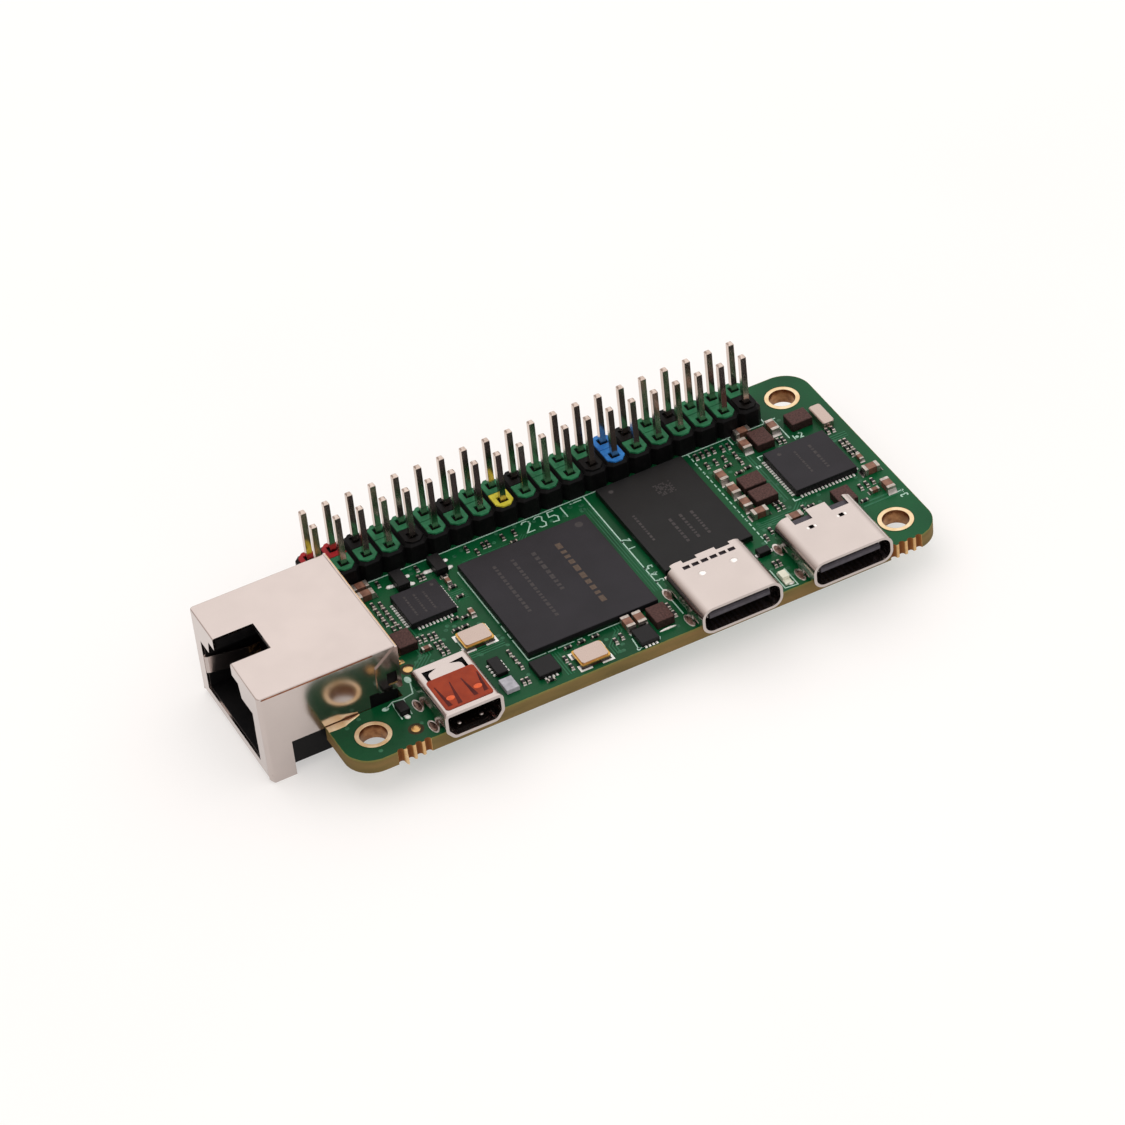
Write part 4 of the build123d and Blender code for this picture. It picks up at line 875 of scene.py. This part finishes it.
def make_traces():
    """Copper lines under the mask, in bundles between the chips and the sockets."""
    lines = Pieces()
    for path, count, pitch, width in (
        ([(20.3, 17.2), (19.0, 17.2), (18.5, 16.7)], 6, 0.28, 0.12),
        ([(36.4, 7.0), (36.4, 22.0)], 3, 0.3, 0.1), ([(16.3, 8.6), (20.2, 8.6)], 4, 0.32, 0.14),
        ([(12.8, 15.5), (12.8, 11.0), (10.8, 9.2)], 4, 0.3, 0.13),
        ([(23.6, 0.8), (23.6, 4.4)], 3, 0.3, 0.12),
        ([(28.8, 0.9), (28.8, 2.2), (30.4, 3.9), (30.4, 4.6)], 3, 0.3, 0.12),
        ([(49.4, 9.9), (53.9, 9.9), (55.0, 11.0)], 4, 0.3, 0.14),
        ([(62.4, 17.9), (64.2, 17.9)], 3, 0.35, 0.14), ([(59.8, 7.1), (64.3, 7.1)], 2, 0.5, 0.25),
        ([(22.0, 21.2), (28.5, 21.2), (29.2, 21.9)], 3, 0.26, 0.11),
        ([(53.9, 12.0), (53.9, 20.4), (52.6, 21.7), (52.6, 23.6)], 2, 0.3, 0.16),
    ):
        trace_bundle(lines, path, count, pitch, width)
    mesh_piece("mask_covered_copper", lines, "mask_copper")


def make_pads():
    """Bare gold: test points, torn plating beside the network socket, and the strips behind it."""
    pads, moats, torn, crack = Pieces(), Pieces(), Pieces(), Pieces()
    dome = [(0.5, TOP), (0.48, TOP + 0.05), (0.38, TOP + 0.09), (0.2, TOP + 0.11), (0.02, TOP + 0.115)]
    for spot in ((10.4, 10.08), (7.35, 2.0)):
        pads.turned(spot, dome, 24)
        moats.turned(spot, [(0.8, TOP), (0.78, TOP + 0.006)], 24)
    mesh_piece("pad_clearances", moats, "moat")
    # The socket sits in a cut-out of twice half_cut, and the plating narrows along x beside it
    middle_y, half_cut = BOARD_WIDTH / 2, 8.06
    widths = ((0.02, 0.82), (0.9, 0.88), (1.75, 0.85), (2.4, 0.55), (3.0, 0.36), (3.6, 0.1))
    for side in (1, -1):
        edge = middle_y - side * half_cut
        inner = [(x, edge - side * (0.05 if x < 2 else 0.3 * (1 - (x - 2) / 1.8))) for x, _ in widths]
        outer = [(x, edge - side * (wide + 0.05)) for x, wide in widths]
        torn.ribbon(outer, inner, TOP, 0.05, side)
        crack.ribbon(inner, [(x, edge) for x, _ in widths], TOP, 0.012, side)
    mesh_piece("torn_edge_plating", torn, "ring", smooth=True)
    mesh_piece("torn_edge_crack", crack, "seam", smooth=True)
    for number in range(8):
        y = middle_y + (number - 3.5) * 1.02
        pads.block((8.5, y - 0.3), (10.6, y + 0.3), (TOP, TOP + 0.01))
    mesh_piece("bare_gold_pads", pads, "gold", smooth=True)


def make_chip_marks():
    """Pale laser marks on the chips: corner dots, short dashes and a dotted square, with no lettering."""
    marks, warm = Pieces(), Pieces()

    def dashes(chip, x, y, end, size, pieces=marks):
        low = top_of(chip)
        while y < end:
            length = random.choice((0.35, 0.5, 0.7)) * size
            pieces.block((x, y), (x + 0.45 * size, y + length), (low, low + MARK))
            y += length + 0.28 * size

    dashes("processor_mould", 30.6, 7.6, 18.0, 1.3, warm)
    for chip, places, start, end, size in (
        ("processor_mould", (28.0,), 11.4, 18.2, 1.0), ("processor_mould", (25.8,), 8.2, 18.0, 0.8),
        ("processor_mould", (23.8,), 10.2, 18.0, 0.8),
        ("memory_mould", (42.0, 43.2, 44.4), 11.0, 14.8, 0.7), ("memory_mould", (39.2,), 13.0, 17.6, 0.6),
        ("power_chip", (59.4,), 13.4, 17.4, 0.7), ("power_chip", (57.7,), 13.6, 17.2, 0.5),
        ("network_chip", (14.3, 15.3, 16.3), 15.9, 18.8, 0.5),
    ):
        for x in places:
            dashes(chip, x, start, end, size)
    square = top_of("memory_mould")
    for i in range(9):
        for j in range(9):
            if random.random() < 0.5:
                x, y = 43.1 + i * 0.21, 18.6 + j * 0.21
                marks.block((x, y), (x + 0.15, y + 0.15), (square, square + MARK))
    for chip, spot, radius in (
        ("processor_mould", (34.1, 19.25), 0.42), ("memory_mould", (39.2, 22.0), 0.26),
        ("power_chip", (56.3, 17.8), 0.22), ("network_chip", (17.6, 19.3), 0.2),
    ):
        low = top_of(chip)
        marks.turned(spot, [(radius, low), (radius * 0.9, low + MARK)], 24)
    mesh_piece("chip_laser_marks", marks, "mark")
    mesh_piece("chip_warm_marks", warm, "mark_warm")


def make_tape_details():
    """What presses through the tape of the video socket: the finger slits, shown as dark strips of painted
    shade, and the finger tips, shown as domes of brighter orange that paint their reflection.
    """
    slit_shades, tips = Pieces(), Pieces()
    low = top_of("video_tape")
    # Each strip is painted shade over a finger slit under the tape
    for (x0, y0), (x1, y1) in (
        ((10.23, 3.23), (10.44, 0.05)), ((11.82, 3.17), (11.43, -0.1)),
        ((13.01, 3.08), (13.26, 0.15)), ((14.73, 3.12), (14.35, 0.2)),
    ):
        steps = [(share, 0.05 + 0.19 * share) for share in (0.0, 0.25, 0.5, 0.75, 1.0)]
        left = [(x0 + (x1 - x0) * share - half, y0 + (y1 - y0) * share) for share, half in steps]
        right = [(x + 2 * half, y) for (x, y), (_, half) in zip(left, steps)]
        slit_shades.ribbon(right, left, low, 0.012, -1)
    mesh_piece("tape_slit_shades", slit_shades, "tape_slit_shade", smooth=True)
    # Domes over the finger tips, painted brighter orange as the tips' reflection through the tape
    profile = [(0.42, low), (0.38, low + 0.02), (0.24, low + 0.045), (0.03, low + 0.055)]
    for spot in ((10.94, 1.08), (13.93, 1.2)):
        tips.turned(spot, profile, 24, (1.05, 0.8))
    mesh_piece("tape_over_finger_tips", tips, "tape_tip_glint", smooth=True)


# ---------- sheet metal details
def make_sheet_details():
    """Seams and raw edges of the network can, pressings of the serial shells, tips of spring fingers."""
    seams, edges, pressed, tips = Pieces(), Pieces(), Pieces(), Pieces()
    # The can's top meets its sides along these two lines; the dark strips laid in them are partly the
    # seam's brown oxide and partly painted shade in its groove.
    for y0, y1 in ((6.975, 7.06), (22.94, 23.025)):
        seams.block((-5.9, y0), (5.85, y1), (7.88, 8.03))
    mesh_piece("network_can_seams", seams, "seam")
    high = top_of("network_shield")
    right = (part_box("network_shield")[1].x - CORNER.x) / MM
    # Cut edges of the sheet: across the rear of the top, and beside the two ground springs
    edges.block((right - 0.1, 6.95), (right + 0.01, 23.05), (high - 0.26, high - 0.12), 0.03)
    for y0, y1 in ((6.76, 6.83), (23.17, 23.24)):
        edges.block((7.0, y0), (7.95, y1), (3.72, 3.86), 0.01)
    mesh_piece("network_can_raw_edges", edges, "raw_edge")
    # Top of the serial shells, with two dimples in the left one and lips beside the right one's windows,
    # painted in brighter nickel as a painted highlight
    flat = TOP + 3.16
    dome = [(0.38, flat - 0.01), (0.33, flat + 0.05), (0.2, flat + 0.12), (0.03, flat + 0.14)]
    for x in (39.82, 43.32):
        pressed.turned((x, 3.62), dome, 24, (1.1, 0.9))
    lip = [(0.2, flat - 0.01), (0.17, flat + 0.02), (0.1, flat + 0.04), (0.02, flat + 0.045)]
    for x in (52.21, 55.61):
        for side in (-1, 1):
            pressed.turned((x + side * 0.42, 3.8), lip, 16, (0.75, 1.1))
    mesh_piece("serial_shell_pressings", pressed, "pressed", smooth=True)
    # Ends of the two lower spring fingers, on the floor of the video socket's mouth
    floor = TOP + VIDEO_WALL
    tip = [(0.24, floor), (0.2, floor + 0.07), (0.12, floor + 0.11), (0.02, floor + 0.12)]
    for x in (11.19, 13.56):
        tips.turned((x, 0.35), tip)
    mesh_piece("video_finger_tips", tips, "rim", smooth=True)


def make_slider_spring():
    """Coiled wire behind the card slider, in place of the CAD spring."""
    low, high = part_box("card_slot_spring")
    wire, radius, gap, turns, around, per_turn = 0.065, 0.33, 0.02, 6, 8, 20
    x = (low.x + high.x) / 2 / MM - CORNER.x / MM
    z = low.z / MM + wire + radius
    front = (low.y - CORNER.y) / MM + wire + gap
    length = (high.y - low.y) / MM - 2 * (wire + gap)
    rings = []
    for step in range(turns * per_turn + 1):
        angle = math.tau * step / per_turn
        y = front + length * step / (turns * per_turn)
        ring = []
        for spot in range(around):
            lean = math.tau * spot / around
            reach = radius + wire * math.cos(lean)
            across, up = reach * math.cos(angle), reach * math.sin(angle)
            ring.append((x + across, y + wire * math.sin(lean), z + up))
        rings.append(ring)
    coil = Pieces()
    coil.loft(rings)
    spring = mesh_piece("slider_return_spring", coil, "steel", smooth=True)
    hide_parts("card_slot_spring")
    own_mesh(spring)


# ---------- underside
def below(profile):
    """The same round profile, hanging from the board's underside."""
    return [(radius, TOP - height) for radius, height in reversed(profile)]


def make_underside():
    """Copper, vias, legend and test points of the side that faces down."""
    copper, dots, legend, points = Pieces(), Pieces(), Pieces(), Pieces()
    scatter_vias(dots, below(VIA), (9.5, 64.0, 1.2, 23.4), 330, UNDERSIDE_PARTS, 0.3)
    for path, count, pitch in (
        ([(34.2, 16.5), (40.5, 16.5), (42.0, 15.0), (49.4, 15.0)], 6, 0.3),
        ([(34.0, 4.0), (46.0, 4.0), (48.5, 6.5), (59.0, 6.5)], 5, 0.34),
        ([(34.4, 9.0), (44.0, 9.0), (46.5, 11.5), (49.4, 11.5)], 4, 0.32),
        ([(54.0, 14.0), (56.0, 16.0), (59.2, 16.0)], 6, 0.3), ([(53.8, 9.6), (59.2, 9.6)], 5, 0.32),
        ([(37.0, 22.6), (37.0, 19.0), (39.0, 17.6)], 5, 0.3),
        ([(44.6, 22.6), (44.6, 18.2)], 4, 0.32), ([(52.0, 22.6), (52.0, 17.6), (50.4, 16.0)], 4, 0.32),
        ([(10.4, 3.0), (16.0, 3.0), (18.4, 5.4)], 5, 0.34), ([(9.6, 8.0), (18.4, 8.0)], 3, 0.36),
    ):
        trace_bundle(copper, path, count, pitch, 0.13, (-0.018, 0.0))
    for node, margin in (
        ("card_slot_cover", 0.35), ("camera_socket_body", 0.35), ("recovery_button_cover", 0.3),
        ("network_transformer", 0.55),
    ):
        for low, high in islands(node):
            x0, y0, y1 = low[0] - margin, low[1] - margin, high[1] + margin
            x1 = min(high[0] + margin, BOARD_LENGTH - 0.2)
            legend.strip([(x0, y1), (x0, y0), (x1, y0)], 0.14, -INK, 0.0)
            legend.strip([(x1, y0 + 0.4), (x1, y1), (x0 + 0.4, y1)], 0.14, -INK, 0.0)
    for number in range(7):
        for start, pitch, y, radius in ((36.5, 1.9, 2.2, 0.5), (38.4, 1.5, 12.6, 0.36)):
            profile = below([(radius, TOP), (radius - 0.02, TOP + 0.03), (0.1, TOP + 0.04)])
            points.turned((start + number * pitch, y), profile)
    mesh_piece("underside_copper", copper, "mask_copper")
    mesh_piece("underside_vias", dots, "via", smooth=True)
    mesh_piece("underside_legend", legend, "silk")
    mesh_piece("underside_test_points", points, "gold", smooth=True)


# ---------- surroundings
# Camera fitted to the photograph: angles in degrees, lens and sensor in millimetres, the rest in metres
AZIMUTH, ELEVATION, ROLL = -23.178, 40.536, -6.534
LENS, SENSOR = 148.164, 36.0
AIM, DISTANCE = Vector((-2.05, 0.94, 1.6)) * MM, 0.4603
# Key light: place and size in metres, power and colour
KEY_PLACE, KEY_SIZE, KEY_POWER, KEY_COLOUR = Vector((-0.25, 0.45, 0.8)), 0.9, 1.6, (1.0, 0.98, 0.96)


def make_camera():
    """Camera at the photograph's angle, from the front left and above."""
    data = bpy.data.cameras.new("camera")
    data.lens, data.sensor_width = LENS, SENSOR
    data.clip_start, data.clip_end = 0.01, 10
    camera = add_object("camera", data)
    azimuth, elevation, roll = map(math.radians, (AZIMUTH, ELEVATION, ROLL))
    level = math.cos(elevation)
    back = Vector((math.sin(azimuth) * level, -math.cos(azimuth) * level, math.sin(elevation)))
    camera.location = AIM + back * DISTANCE
    camera.rotation_mode = "QUATERNION"
    camera.rotation_quaternion = Quaternion(back, roll) @ (-back).to_track_quat("-Z", "Y")
    bpy.context.scene.camera = camera


def make_key_light():
    """Soft square light that looks at the middle of the board, and leaves no glare on bent metal."""
    data = bpy.data.lights.new("soft_key", "AREA")
    data.size, data.energy, data.color = KEY_SIZE, KEY_POWER, KEY_COLOUR
    light = add_object("soft_key", data)
    light.location = KEY_PLACE
    light.visible_glossy = False
    light.rotation_mode = "QUATERNION"
    light.rotation_quaternion = (-KEY_PLACE).to_track_quat("-Z", "Y")


def make_sky():
    """Even pale sky, dimmer towards the ground and towards the left."""
    world = bpy.data.worlds.new("studio")
    world.use_nodes = True
    nodes = Nodes(world.node_tree)
    direction = nodes.split(nodes.node("ShaderNodeTexCoord").outputs["Generated"])
    by_height = nodes.ramp(direction[2], [(0.05, (0.5, 0.46, 0.44, 1)), (0.55, (1, 0.965, 0.945, 1))])
    rightward = nodes.math("ADD", direction[0], 1.0)
    by_side = nodes.ramp(rightward, [(0.3, (0.66, 0.62, 0.6, 1)), (0.85, (1, 1, 1, 1))])
    sky = nodes.tree.nodes["Background"]
    sky.inputs["Strength"].default_value = 1.2
    nodes.link(nodes.mix(1.0, by_height, by_side, "MULTIPLY"), sky.inputs["Color"])
    bpy.context.scene.world = world


def make_floor():
    """Pale floor a hair below the lowest point of the board."""
    half, height = 3.0, CAD_BOX[0].z - 0.05 * MM
    mesh = bpy.data.meshes.new("floor")
    mesh.from_pydata(rectangle((-half, -half), (half, half), height), [], [(0, 1, 2, 3)])
    floor = add_object("floor", mesh)
    mesh.materials.append(MATERIALS["floor"])


for node_name, node_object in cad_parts.items():
    dress_node(node_name, node_object)
bpy.context.scene.view_settings.view_transform = "Standard"
make_camera()
make_sky()
make_key_light()
make_floor()
make_solder()
make_silkscreen()
make_traces()
make_vias()
make_pads()
make_chip_marks()
make_tape_details()
make_sheet_details()
make_slider_spring()
make_underside()
